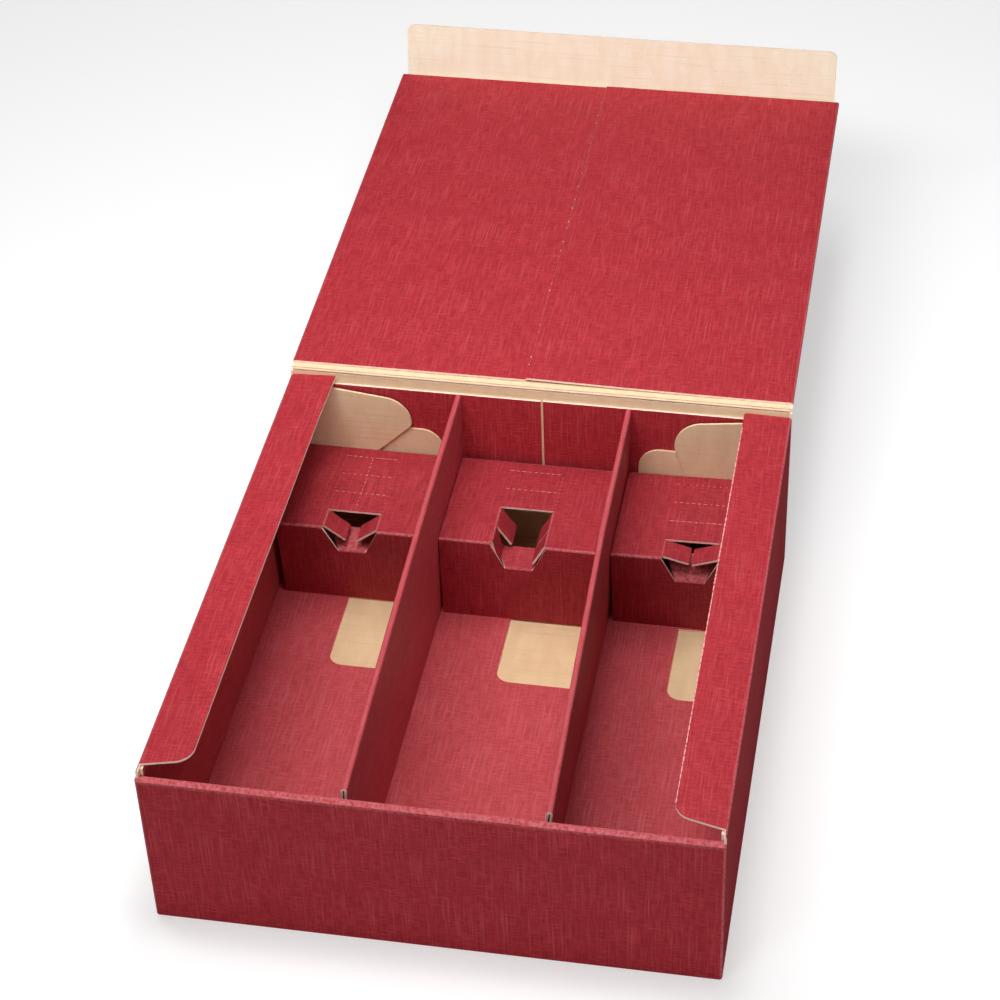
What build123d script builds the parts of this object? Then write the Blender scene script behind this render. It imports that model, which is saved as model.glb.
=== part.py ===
from build123d import *
import os
from math import cos, radians, sin

# Shipping and gift box for three bottles, shown open: a folded case with a hinged lid and
# tuck flap, a folded tray of two dividers inside, and three neck cradles at the back.
# Millimetres. The origin is the middle of the case's underside, +X to the right,
# +Y towards the lid's crease and +Z up.

# Card
board = 1.5  # micro-flute card, one ply
ply_gap = 0.2  # air between two plies folded onto each other
fit_gap = 0.3  # clearance between neighbouring pieces
crease_gap = 0.3  # clearance at a cut-through hinge crease

# Outer case
outside_width = 340.0
outside_depth = 378.0
crease_height = 130.0  # lid crease above the ground, at the middle of the ply
front_drop = 7.0  # front ridge below the closed lid's lining
roll_gap = 0.4  # air inside the rolled front wall
roll_foot_gap = 0.3  # inner front panel above the base

# Top flaps along the side walls
flap_width = 29.0
flap_lift = 1.6  # the flap springs up towards its free edge
flap_start = 3.8  # front end of the flap's fold behind the rolled front wall
flap_mitre_rise = 8.5  # slant of the flap's front end, which lets the tuck flap pass
flap_corner_radius = 9.0
flap_ridge = 3.5  # strip along the fold that runs on to the front, outside the tuck flap

# Lining of the back wall and the ears of the side walls in front of it
back_lining_drop = 8.5  # bare strip under the back wall's top edge
seam_gap = 0.8
ear_widths = (83.0, 77.0)  # high ears, left and right
ear_top_slope = 9.8  # fall of the high ear's top edge towards its corner
ear_corner_radius = 20.0
ear_side_length = 2.0  # upright edge under the rounded corner
ear_root = 14.0  # width left at the side wall below the slant
low_ear_width = 103.0
low_ear_height = 91.5
low_ear_radius = 11.0

# Lid and tuck flap
lid_tilt = 1.0  # degrees above level, lying back
lid_lining_start = 5.5  # bare strip beside the crease
lid_lining_step = 0.6  # the right lining reaches further than the left one
lid_lining_relief = 0.3  # lining held back from the tuck flap when that is folded in
tuck_length = 42.0
tuck_inset = 4.0
tuck_corner_radius = 6.0
tuck_open_angle = 80.0  # degrees between the lid and the flap, lying back

# Dividers, folded up from the insert's floor
divider_height = 121.5
divider_slot = 2.0  # hollow between the two walls of a divider
divider_leans = (2.5, 5.0)  # sideways lean of each divider at its ridge
divider_front_room = 6.5  # room for the tuck flap in front of the dividers
divider_front_radius = 3.0
insert_side_drop = 0.6  # insert's side panels below the top flaps
window_length = 59.0
window_past_middle = 6.0  # the window reaches to the left of the compartment's middle
window_radius = 9.5
window_margin = 2.5
window_tuck = 8.0  # part of the window under the cradle

# Neck cradles
cradle_depth = 86.0
cradle_height = 67.5
cradle_fit = 0.5
notch_top_width = 37.0
notch_bottom_width = 19.5
notch_drop = 25.0
strip_pitch = 19.0  # depth of one tear-out strip in the cradle's top
tab_cut = 0.5  # width of the knife cut round a tab
score_width = 0.6  # knife lines round the strips that are still closed
score_depth = 0.4
cradle_openings = (
    # name, opened strips, left and right tab angles, front tab angle from upright
    ("neck_cradle_left", 1, (51.0, 44.0), 66.0),
    ("neck_cradle_middle", 2, (57.0, 72.0), 70.0),
    ("neck_cradle_right", 1, (18.0, 17.0), 46.0),
)

# Worked out from the sizes above
half_width = outside_width / 2
half_depth = outside_depth / 2
side_inner = half_width - board
lining_level = crease_height - board / 2 - ply_gap - board  # underside of the closed lid
flap_top = lining_level - fit_gap
side_height = flap_top - flap_lift
front_height = lining_level - front_drop
back_inner = half_depth - board
back_top = crease_height - board / 2 - crease_gap
front_inner = -half_depth + 2 * board + roll_gap
lining_front = back_inner - board
high_ear_face = lining_front - 2 * ply_gap - board
ear_top = side_height - board - fit_gap  # under the top flaps
ear_foot = 2 * board + fit_gap  # above the insert's floor
cradle_front = high_ear_face - board - fit_gap - cradle_depth
crease_y = half_depth - board / 2
lid_length = crease_y - (front_inner + fit_gap + board / 2)


def across(y):
    """Upright plane across the box at y: local x is X, local y is Z, extruded forwards."""
    return Plane.XZ.offset(-y)


def lengthways(x):
    """Upright plane along the box at x: local x is Y, local y is Z, extruded to the right."""
    return Plane.YZ.offset(x)


def draw_ply(points, side):
    """Draw the closed section of one folded ply in the current BuildLine.

    The points follow the ply's inner face, and its thickness lies to the left of them
    (side 1) or to the right (side -1). Every outer fold is rounded by the ply's thickness.
    """
    corners = [Vector(*point) for point in points]
    runs = [after - before for before, after in zip(corners, corners[1:])]
    outward = [Vector(-run.Y, run.X).normalized() * (side * board) for run in runs]
    Polyline(*corners)
    face = corners[0] + outward[0]
    Line(corners[0], face)
    for corner, run, next_run, out, next_out in zip(
        corners[1:], runs, runs[1:], outward, outward[1:]
    ):
        if side * run.cross(next_run).Z < 0:
            Line(face, corner + out)
            middle = corner + (out + next_out).normalized() * board
            ThreePointArc(corner + out, middle, corner + next_out)
            face = corner + next_out
        else:
            meeting = corner + (out + next_out) * (board**2 / (board**2 + out.dot(next_out)))
            Line(face, meeting)
            face = meeting
    Line(face, corners[-1] + outward[-1])
    Line(corners[-1] + outward[-1], corners[-1])


# Outline of the left top flap, mitred and rounded at its front so that the tuck flap passes
flap_front = front_inner + flap_start
flap_corner = (-half_width + flap_width, flap_front + flap_mitre_rise)
with BuildSketch() as flap_outline:
    with BuildLine():
        Polyline(
            (-half_width - 2 * board, -half_depth),
            (-half_width + flap_ridge, -half_depth),
            (-half_width + flap_ridge, flap_front),
            flap_corner,
            (-half_width + flap_width, half_depth),
            (-half_width - 2 * board, half_depth),
            close=True,
        )
    make_face()
    fillet(
        flap_outline.vertices().sort_by_distance(flap_corner)[0],
        radius=flap_corner_radius,
    )

# Case: base, rolled front wall, back wall, side walls with their top flaps
with BuildPart() as tray:
    # side walls and top flaps, as one folded section
    flap_reach = flap_width - board
    with BuildSketch(across(half_depth)):
        with BuildLine():
            case_section = [
                (-side_inner + flap_reach, flap_top - board),
                (-side_inner, side_height - board),
                (-side_inner, board),
                (side_inner, board),
                (side_inner, side_height - board),
                (side_inner - flap_reach, flap_top - board),
            ]
            draw_ply(case_section, side=-1)
        make_face()
    extrude(amount=outside_depth - board)

    # the front ends of the flaps, cut to their outline
    with BuildSketch(Plane.XY.offset(side_height - board)):
        with Locations((-half_width - board, -half_depth - board)):
            Rectangle(flap_width + 3 * board, flap_width + board, align=(Align.MIN, Align.MIN))
        add(flap_outline.sketch, mode=Mode.SUBTRACT)
        mirror(about=Plane.YZ)
    extrude(amount=crease_height, mode=Mode.SUBTRACT)

    # rolled front wall, base and back wall, as one folded section
    with BuildSketch(lengthways(-half_width)):
        with BuildLine():
            roll_section = [
                (-half_depth + board + roll_gap, board + roll_foot_gap),
                (-half_depth + board + roll_gap, front_height - board),
                (-half_depth + board, front_height - board),
                (-half_depth + board, board),
                (back_inner, board),
                (back_inner, back_top),
            ]
            draw_ply(roll_section, side=-1)
        make_face()
    extrude(amount=outside_width)

    # lining of the back wall: two wings folded in, which meet at a seam
    lining_top = crease_height - back_lining_drop
    with BuildSketch(across(back_inner)):
        with Locations((-seam_gap / 2, board), (half_width, board)):
            Rectangle(
                half_width - seam_gap / 2, lining_top - board, align=(Align.MAX, Align.MIN)
            )
    extrude(amount=board)

    # ears of the side walls, folded across the back corners: a low one behind a high one
    low_ear_face = lining_front - ply_gap
    with BuildSketch(across(low_ear_face)):
        with BuildLine():
            low_ear_corner = (-half_width + low_ear_width, low_ear_height)
            Polyline(
                (-half_width, ear_foot),
                (-half_width + low_ear_width, ear_foot),
                low_ear_corner,
                (-half_width, low_ear_height),
                close=True,
            )
        low_ear = make_face()
        fillet(low_ear.vertices().sort_by_distance(low_ear_corner)[0], radius=low_ear_radius)
        mirror(about=Plane.YZ)
    extrude(amount=board)
    with BuildSketch(across(high_ear_face)):
        for side, ear_width in zip((-1, 1), ear_widths):
            with BuildLine():
                ear_edge = half_width - ear_width
                high_ear_corner = (side * ear_edge, ear_top - ear_top_slope)
                ear_side_foot = high_ear_corner[1] - ear_corner_radius - ear_side_length
                Polyline(
                    (side * half_width, ear_foot),
                    (side * (half_width - ear_root), ear_foot),
                    (side * (half_width - ear_root), ear_side_foot - (ear_width - ear_root)),
                    (side * ear_edge, ear_side_foot),
                    high_ear_corner,
                    (side * half_width, ear_top),
                    close=True,
                )
            high_ear = make_face()
            fillet(
                high_ear.vertices().sort_by_distance(high_ear_corner)[0],
                radius=ear_corner_radius,
            )
    extrude(amount=board)

# Lid, lying back: a panel with two wings folded in as its lining
lid_normal = Vector(0, -sin(radians(lid_tilt)), cos(radians(lid_tilt)))
lid_plane = Plane(origin=(0, crease_y, crease_height), x_dir=(1, 0, 0), z_dir=lid_normal)


def along_lid(distance):
    """Plane square to the lid at a distance from its crease: local x is X, local y is up."""
    origin = lid_plane.from_local_coords((0, distance, 0))
    return Plane(origin=origin, x_dir=(1, 0, 0), z_dir=-lid_plane.y_dir)


with BuildPart() as lid:
    lining_end = lid_length - board / 2 - crease_gap - lid_lining_relief - lid_lining_step
    with BuildSketch(along_lid(lid_length - board / 2 - crease_gap)):
        Rectangle(outside_width - 2 * board, board)
    extrude(amount=lid_length - board / 2 - crease_gap)
    # lining wings and the folds along the lid's sides
    with BuildSketch(along_lid(lining_end)):
        with BuildLine():
            wing_section = [
                (-seam_gap / 2, board / 2 + ply_gap),
                (-side_inner, board / 2 + ply_gap),
                (-side_inner, board / 2),
                (-side_inner + 2 * board, board / 2),
            ]
            draw_ply(wing_section, side=-1)
        make_face()
    extrude(amount=lining_end - lid_lining_start)
    with BuildSketch(along_lid(lining_end + lid_lining_step)):
        with BuildLine():
            draw_ply([(-x, z) for x, z in wing_section], side=1)
        make_face()
    extrude(amount=lining_end + lid_lining_step - lid_lining_start)
    # rounded crease
    with BuildSketch(lengthways(-side_inner)):
        with Locations((crease_y, crease_height)):
            Circle(board / 2)
    extrude(amount=2 * side_inner)

# Tuck flap, standing up at the lid's far edge
tuck_axis = lid_plane.from_local_coords((0, lid_length, 0))
tuck_angle = radians(lid_tilt + tuck_open_angle)
tuck_normal = Vector(0, -sin(tuck_angle), cos(tuck_angle))
tuck_plane = Plane(origin=tuck_axis, x_dir=(1, 0, 0), z_dir=tuck_normal)

with BuildPart() as tuck_flap:
    tuck_width = outside_width - 2 * tuck_inset
    with BuildSketch(tuck_plane) as tuck_outline:
        with BuildLine():
            Polyline(
                (-tuck_width / 2, 0),
                (tuck_width / 2, 0),
                (tuck_width / 2, tuck_length),
                (-tuck_width / 2, tuck_length),
                close=True,
            )
        make_face()
        fillet(tuck_outline.vertices().group_by(Axis.Y)[-1], radius=tuck_corner_radius)
    extrude(amount=board / 2, both=True)
    # rounded crease
    with BuildSketch(lengthways(-tuck_width / 2)):
        with Locations((tuck_axis.Y, tuck_axis.Z)):
            Circle(board / 2)
    extrude(amount=tuck_width)

# Insert: one sheet with side panels, floor and two dividers folded up from the floor
insert_side = side_inner - fit_gap  # outer face of a side panel
insert_front = front_inner + fit_gap
insert_back = lining_front - ply_gap
insert_side_top = side_height - board - insert_side_drop
insert_floor = 2 * board  # upper face of the insert's floor
divider_middles = [-outside_width / 6, outside_width / 6]
half_slot = divider_slot / 2
divider_half = half_slot + board
# clear span of each bottle compartment at the floor
compartment_edges = [-insert_side + board, insert_side - board]
for middle in divider_middles:
    compartment_edges += [middle - divider_half, middle + divider_half]
compartment_edges.sort()
compartments = list(zip(compartment_edges[::2], compartment_edges[1::2]))
# span that is free for each cradle up to its top, beside the leaning dividers
lean_shares = [lean * (cradle_height + board) / (divider_height - 2 * board) for lean in divider_leans]
cradle_spans = [
    (left + cradle_fit + intrusion, right - cradle_fit)
    for (left, right), intrusion in zip(compartments, (0.0, *lean_shares))
]

with BuildPart() as insert:
    insert_section = [(-insert_side, insert_side_top), (-insert_side, board)]
    for middle, lean in zip(divider_middles, divider_leans):
        insert_section += [
            (middle - half_slot, board),
            (middle - half_slot + lean, divider_height - board),
            (middle + half_slot + lean, divider_height - board),
            (middle + half_slot, board),
        ]
    insert_section += [(insert_side, board), (insert_side, insert_side_top)]
    with BuildSketch(across(insert_back)):
        with BuildLine():
            draw_ply(insert_section, side=1)
        make_face()
    extrude(amount=insert_back - insert_front)

    # dividers cut back at the front, where the tuck flap goes down
    divider_front = front_inner + divider_front_room
    for middle, lean in zip(divider_middles, divider_leans):
        with BuildSketch(lengthways(middle - 2 * divider_half)):
            with BuildLine():
                Polyline(
                    (insert_front - board, insert_floor),
                    (divider_front, insert_floor),
                    (divider_front, divider_height - divider_front_radius),
                    (divider_front + divider_front_radius, divider_height + board),
                    (insert_front - board, divider_height + board),
                    close=True,
                )
            make_face()
        extrude(amount=4 * divider_half + lean, mode=Mode.SUBTRACT)

    # side panels cut back at the rear, in front of the ears
    with BuildSketch(Plane.XY.offset(insert_floor)):
        for side in (-1, 1):
            with Locations((side * insert_side, insert_back)):
                Rectangle(4 * board, 2 * (insert_back - high_ear_face + board + fit_gap))
    extrude(amount=crease_height, mode=Mode.SUBTRACT)

    # window in the floor at the right of each bottle compartment, in front of its cradle
    with BuildSketch(Plane.XY.offset(board)) as windows:
        window_end = cradle_front + window_tuck
        window_start = cradle_front - window_length
        window_corners = []
        for left, right in compartments:
            window_left = (left + right) / 2 - window_past_middle
            with BuildLine():
                Polyline(
                    (window_left, window_start),
                    (right - window_margin, window_start),
                    (right - window_margin, window_end),
                    (window_left, window_end),
                    close=True,
                )
            make_face()
            window_corners.append((window_left, window_start))
        fillet(
            [windows.vertices().sort_by_distance(corner)[0] for corner in window_corners],
            radius=window_radius,
        )
    extrude(amount=board, mode=Mode.SUBTRACT)


# Neck cradles: a folded sleeve each, with a neck cut-out of tabs at its top front edge
def make_cradle(left, right, strips, side_angles, front_angle):
    """Build one neck cradle between the faces left and right of its compartment."""
    middle = (left + right) / 2
    width = right - left
    top = insert_floor + cradle_height
    top_inner = top - board
    front_inner_face = cradle_front + board
    back_inner_face = cradle_front + cradle_depth - board
    notch_floor = top - notch_drop
    hole_length = strips * strip_pitch

    # front tab, cut free to the notch's outline and folded back about its lower edge
    tab_angle = radians(front_angle)
    tab_direction = Vector(0, sin(tab_angle), cos(tab_angle))
    tab_height = notch_drop - board - tab_cut
    tab_end = Vector(0, front_inner_face, notch_floor) + tab_direction * tab_height
    with BuildPart() as front_tab:
        with BuildSketch(lengthways(middle - notch_top_width / 2)):
            with BuildLine():
                tab_section = [
                    (front_inner_face, notch_floor - 2 * board),
                    (front_inner_face, notch_floor),
                    (tab_end.Y, tab_end.Z),
                ]
                draw_ply(tab_section, side=1)
            make_face()
        extrude(amount=notch_top_width)
        tab_face = Plane(
            origin=(middle, front_inner_face, notch_floor),
            x_dir=(1, 0, 0),
            z_dir=Vector(1, 0, 0).cross(tab_direction),
        )
        with BuildSketch(tab_face):
            with BuildLine():
                Polyline(
                    (-notch_bottom_width / 2, -2 * board),
                    (notch_bottom_width / 2, -2 * board),
                    (notch_bottom_width / 2, 0),
                    (notch_top_width / 2 - tab_cut, tab_height + board),
                    (-notch_top_width / 2 + tab_cut, tab_height + board),
                    (-notch_bottom_width / 2, 0),
                    close=True,
                )
            make_face()
        extrude(amount=4 * board, both=True, mode=Mode.INTERSECT)

    # sleeve
    with BuildPart() as cradle:
        with BuildSketch(lengthways(left)):
            with BuildLine():
                sleeve_section = [
                    (front_inner_face + fit_gap, insert_floor + board),
                    (back_inner_face, insert_floor + board),
                    (back_inner_face, top_inner),
                    (front_inner_face, top_inner),
                    (front_inner_face, insert_floor),
                ]
                draw_ply(sleeve_section, side=-1)
            make_face()
        extrude(amount=width)

        # hole in the top panel and notch in the front panel
        with BuildSketch(Plane.XY.offset(top_inner)):
            with Locations((middle, cradle_front - board)):
                Rectangle(
                    notch_top_width, hole_length + board, align=(Align.CENTER, Align.MIN)
                )
        extrude(amount=2 * board, mode=Mode.SUBTRACT)
        with BuildSketch(across(front_inner_face)):
            with BuildLine():
                Polyline(
                    (middle - notch_bottom_width / 2, notch_floor),
                    (middle + notch_bottom_width / 2, notch_floor),
                    (middle + notch_top_width / 2, top),
                    (middle - notch_top_width / 2, top),
                    close=True,
                )
            make_face()
        extrude(amount=board + fit_gap, mode=Mode.SUBTRACT)

        # knife lines round the strips that are still closed
        whole_strips = int(cradle_depth // strip_pitch)
        closed_length = (whole_strips - strips) * strip_pitch
        with BuildSketch(Plane.XY.offset(top)):
            for strip in range(strips + 1, whole_strips + 1):
                with Locations((middle, cradle_front + strip * strip_pitch)):
                    Rectangle(notch_top_width, score_width)
            with Locations((middle, cradle_front + hole_length + closed_length / 2)):
                with GridLocations(notch_top_width / 2 - score_width / 2, 0, 3, 1):
                    Rectangle(score_width, closed_length)
        extrude(amount=-score_depth, mode=Mode.SUBTRACT)

        # side tabs, one pair for each opened strip, folded down about the hole's sides
        tab_length = (notch_top_width - tab_cut) / 2
        for strip in range(strips):
            tab_back = cradle_front + (strip + 1) * strip_pitch - tab_cut
            tab_depth = strip_pitch - tab_cut - (board if strip == 0 else 0)
            for side, angle in zip((-1, 1), side_angles):
                hinge = middle + side * notch_top_width / 2
                fall = Vector(-side * cos(radians(angle)), -sin(radians(angle))) * tab_length
                tab_section = [
                    (hinge + side * 2 * board, top_inner),
                    (hinge, top_inner),
                    (hinge + fall.X, top_inner + fall.Y),
                ]
                with BuildSketch(across(tab_back)):
                    with BuildLine():
                        draw_ply(tab_section, side=-side)
                    make_face()
                extrude(amount=tab_depth)

        add(front_tab.part)
    return cradle.part


cradles = []
for (left, right), (name, strips, side_angles, front_angle) in zip(cradle_spans, cradle_openings):
    cradle_part = make_cradle(left, right, strips, side_angles, front_angle)
    cradle_part.label = name
    cradles.append(cradle_part)

# One file for each piece
for name, piece in (("tray", tray), ("lid", lid), ("tuck_flap", tuck_flap), ("insert", insert)):
    piece.part.label = name
os.makedirs("parts", exist_ok=True)
for part in (tray.part, lid.part, tuck_flap.part, insert.part, *cradles):
    export_step(part, f"parts/{part.label}.step")
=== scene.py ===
"""Shipping and gift box for three bottles, shown open, in folded printed card.

Every part of the box is one folded sheet of micro-flute card. A sheet is drawn as its bare kraft
face, folded, cut to its outline and then given its thickness, so that its outside carries the
linen-look print, its inside the bare kraft liner, and its cut edges the raw fluting. Sizes are
in millimetres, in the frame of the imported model, and turn into metres when a piece is finished.
"""

from __future__ import annotations

import logging
import math
import random
from collections.abc import Callable, Iterable, Sequence
from dataclasses import dataclass, replace
from enum import Enum
from typing import TypeVar

import bmesh
import bpy
from mathutils import Matrix, Vector

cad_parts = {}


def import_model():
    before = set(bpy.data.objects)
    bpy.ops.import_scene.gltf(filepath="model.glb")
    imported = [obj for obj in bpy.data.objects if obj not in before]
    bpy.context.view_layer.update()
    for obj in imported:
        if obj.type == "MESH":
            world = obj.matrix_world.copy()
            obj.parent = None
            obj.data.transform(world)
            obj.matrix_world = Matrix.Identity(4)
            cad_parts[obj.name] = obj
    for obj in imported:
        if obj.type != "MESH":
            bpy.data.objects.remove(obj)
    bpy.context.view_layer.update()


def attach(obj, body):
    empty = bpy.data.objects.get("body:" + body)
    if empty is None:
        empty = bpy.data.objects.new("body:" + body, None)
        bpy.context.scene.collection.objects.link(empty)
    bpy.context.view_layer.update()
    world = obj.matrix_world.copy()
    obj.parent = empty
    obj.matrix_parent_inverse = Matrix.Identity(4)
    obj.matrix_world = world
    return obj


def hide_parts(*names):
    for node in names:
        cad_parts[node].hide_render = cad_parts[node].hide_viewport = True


LOG = logging.getLogger("bottle_box")

METRES = 0.001
SHEET_MAP = "sheet_map"  # a sheet's own map, in metres
FOLD_LAYER = "fold"  # 1 on the crown of a fold
FACING = 0.9  # a face with this share of a direction in its normal faces that way
X, Y, Z = Vector((1, 0, 0)), Vector((0, 1, 0)), Vector((0, 0, 1))

FaceTest = Callable[[bmesh.types.BMFace], bool]
EdgeTest = Callable[[bmesh.types.BMEdge], bool]
Picked = TypeVar("Picked")


class Side(Enum):
    """A side of the box, as the sign of X there."""

    LEFT = -1
    RIGHT = 1

    def pick(self, pair: Sequence[Picked]) -> Picked:
        """The value of this side from a pair, left first."""
        return pair[0 if self is Side.LEFT else 1]


class CardSlot(Enum):
    """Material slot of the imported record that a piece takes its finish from."""

    CASE = "case_card"
    INSERT = "insert_card"
    CRADLE = "cradle_card"


class CardBody(Enum):
    """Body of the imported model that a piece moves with."""

    CASE = "case"
    LID = "lid"
    TUCK_FLAP = "tuck_flap"


# Colour and node helpers


def linear(code: str) -> tuple[float, float, float, float]:
    """Turn an sRGB hex colour into linear RGBA.

    Args:
        code: Six hex digits, such as "B5333D".

    Returns:
        Linear red, green, blue and an alpha of 1.
    """
    channels = [int(code[index : index + 2], 16) / 255 for index in (0, 2, 4)]
    bent = [c / 12.92 if c <= 0.04045 else ((c + 0.055) / 1.055) ** 2.4 for c in channels]
    return (bent[0], bent[1], bent[2], 1.0)


def add_node(
    tree: bpy.types.NodeTree,
    kind: str,
    settings: dict[str, object] | None = None,
    inputs: dict[str | int, object] | None = None,
) -> bpy.types.Node:
    """Add a node with its settings, and set or link its inputs.

    Args:
        tree: Node tree that takes the node.
        kind: Blender's type name of the node.
        settings: Attributes of the node and their values.
        inputs: Inputs by name or number, each with a value or a socket to link from.

    Returns:
        The new node.
    """
    made = tree.nodes.new(kind)
    for name, value in (settings or {}).items():
        setattr(made, name, value)
    for name, value in (inputs or {}).items():
        if isinstance(value, bpy.types.NodeSocket):
            tree.links.new(value, made.inputs[name])
        else:
            made.inputs[name].default_value = value
    return made


def add_object(name: str, data: bpy.types.ID) -> bpy.types.Object:
    """Make an object of a mesh, a light or a camera, and link it to the scene.

    Args:
        name: Name of the object.
        data: Its data.

    Returns:
        The object.
    """
    made = bpy.data.objects.new(name, data)
    bpy.context.scene.collection.objects.link(made)
    return made


def start_material(name: str) -> tuple[bpy.types.Material, bpy.types.NodeTree]:
    """Make a material with an empty node tree.

    Args:
        name: Name of the material.

    Returns:
        The material and its node tree.
    """
    material = bpy.data.materials.new(name)
    material.use_nodes = True
    material.node_tree.nodes.clear()
    return material, material.node_tree


def stretched_noise(
    tree: bpy.types.NodeTree,
    place: bpy.types.NodeSocket,
    size: tuple[float, float],
    layer: float,
    detail: float = 1.0,
) -> bpy.types.NodeSocket:
    """Noise whose grains have a real size in the sheet's own directions.

    Args:
        tree: Node tree of the material.
        place: Place on the sheet in metres, across and along the grain.
        size: Width across the grain and length along it, in millimetres.
        layer: Level that the noise is cut at, so that two layers differ.
        detail: Finer octaves on top of the grain.

    Returns:
        Socket with the noise, from 0 to 1 around 0.5.
    """
    scale = (1 / (size[0] * METRES), 1 / (size[1] * METRES), 1.0)
    mapping = add_node(
        tree,
        "ShaderNodeMapping",
        inputs={"Vector": place, "Scale": scale, "Location": (layer * 7.3, layer * 3.1, layer)},
    )
    noise = add_node(
        tree,
        "ShaderNodeTexNoise",
        inputs={"Vector": mapping.outputs[0], "Scale": 1.0, "Detail": detail},
    )
    return noise.outputs["Fac"]


def lay_colour(
    tree: bpy.types.NodeTree,
    base: object,
    colour: str,
    pattern: bpy.types.NodeSocket,
    span: tuple[float, float] = (0.0, 1.0),
    most: object = 1.0,
) -> bpy.types.NodeSocket:
    """Lay a colour over another one where a pattern is strong.

    Args:
        tree: Node tree of the material.
        base: Colour underneath, or a socket with it.
        colour: Six hex digits of the colour on top.
        pattern: Pattern that the upper colour follows.
        span: Values of the pattern where the upper colour sets in and where it is full.
        most: Its share where it is full, or a socket with it.

    Returns:
        Socket with the mixed colour.
    """
    share = add_node(
        tree,
        "ShaderNodeMapRange",
        inputs={"Value": pattern, "From Min": span[0], "From Max": span[1], "To Max": most},
    )
    mixed = add_node(
        tree,
        "ShaderNodeMix",
        settings={"data_type": "RGBA"},
        inputs={0: share.outputs[0], 6: base, 7: linear(colour)},
    )
    return mixed.outputs[2]


def close_surface(
    tree: bpy.types.NodeTree,
    colour: bpy.types.NodeSocket,
    relief: bpy.types.NodeSocket,
    rise: tuple[float, float],
    roughness: float,
    specular: float,
) -> None:
    """End the material of a paper with its relief and its gloss.

    Args:
        tree: Node tree of the material.
        colour: Colour of the paper.
        relief: Height of its surface.
        rise: Strength of the relief and its depth in millimetres.
        roughness: Roughness of the surface.
        specular: Strength of its reflection.
    """
    bump = add_node(
        tree,
        "ShaderNodeBump",
        inputs={"Height": relief, "Strength": rise[0], "Distance": rise[1] * METRES},
    )
    shader = add_node(
        tree,
        "ShaderNodeBsdfPrincipled",
        inputs={
            "Base Color": colour,
            "Roughness": roughness,
            "Specular IOR Level": specular,
            "Normal": bump.outputs[0],
        },
    )
    add_node(tree, "ShaderNodeOutputMaterial", inputs={"Surface": shader.outputs[0]})


# Finishes


@dataclass(frozen=True)
class LinenPrint:
    """Wine-red printed cover paper, embossed with a linen weave and sealed with a satin varnish.

    The weave breaks the light into a fine grid of threads, thick slubs show as paler streaks,
    and the varnish is rubbed pink where the card is folded; the same pink also paints a sheen
    on the rounded folds.
    """

    name: str = "linen_embossed_print_paper"
    thread_colour: str = "B6353D"
    gap_colour: str = "9C2730"
    slub_colour: str = "C9585F"
    # rubbed varnish on the folds, which also paints their sheen
    worn_sheen_colour: str = "DC8B8F"
    worn_sheen_share: float = 0.45
    thread_pitch: float = 1.2  # threads of the real paper are finer than a pixel, so drawn wider
    thread_length: float = 13.0
    slub_width: float = 1.1
    slub_length: float = 42.0
    mottle_size: float = 24.0
    rub_sheen_size: float = 2.2
    roughness: float = 0.55

    def build(self) -> bpy.types.Material:
        """Build the material from the sheet's own map and its fold attribute.

        Returns:
            The material.
        """
        material, tree = start_material(self.name)
        place = add_node(tree, "ShaderNodeUVMap", settings={"uv_map": SHEET_MAP}).outputs[0]
        fold = add_node(tree, "ShaderNodeAttribute", settings={"attribute_name": FOLD_LAYER})

        # warp threads run along the grain and weft threads across it
        warp = stretched_noise(tree, place, (self.thread_pitch, self.thread_length), 1.0)
        weft = stretched_noise(tree, place, (self.thread_length / 2, self.thread_pitch), 2.0)
        weave = add_node(tree, "ShaderNodeMix", inputs={0: 0.5, 2: warp, 3: weft}).outputs[0]
        gap = linear(self.gap_colour)
        colour = lay_colour(tree, gap, self.thread_colour, weave, (0.40, 0.60))

        # thick slubs, more of them along the grain than across it
        streaks = []
        for size, layer, low, high, most in (
            ((self.slub_width, self.slub_length), 3.0, 0.54, 0.76, 0.5),
            ((self.slub_length / 3, self.slub_width), 4.0, 0.56, 0.74, 0.36),
        ):
            noise = stretched_noise(tree, place, size, layer)
            inputs = {"Value": noise, "From Min": low, "From Max": high, "To Max": most}
            streaks.append(add_node(tree, "ShaderNodeMapRange", inputs=inputs).outputs[0])
        slub = add_node(
            tree, "ShaderNodeMath", {"operation": "MAXIMUM"}, dict(enumerate(streaks))
        ).outputs[0]
        colour = lay_colour(tree, colour, self.slub_colour, slub)

        # slow changes of ink over the sheet
        mottle = stretched_noise(tree, place, (self.mottle_size, self.mottle_size), 5.0, 3.0)
        colour = lay_colour(tree, colour, self.gap_colour, mottle, (0.36, 0.64), 0.3)

        # varnish rubbed along the folds, with a painted sheen on their rounded crowns
        rub_sheen_noise = stretched_noise(tree, place, (self.rub_sheen_size, self.rub_sheen_size), 6.0, 3.0)
        worn_sheen_node = add_node(
            tree,
            "ShaderNodeMath",
            {"operation": "MULTIPLY"},
            {0: fold.outputs["Fac"], 1: self.worn_sheen_share},
        )
        worn_sheen = worn_sheen_node.outputs[0]
        colour = lay_colour(tree, colour, self.worn_sheen_colour, rub_sheen_noise, (0.30, 0.62), worn_sheen)
        relief = add_node(
            tree, "ShaderNodeMath", {"operation": "MULTIPLY_ADD"}, {0: slub, 1: 0.35, 2: weave}
        ).outputs[0]
        close_surface(tree, colour, relief, (0.55, 0.35), self.roughness, 0.12)
        return material


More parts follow.
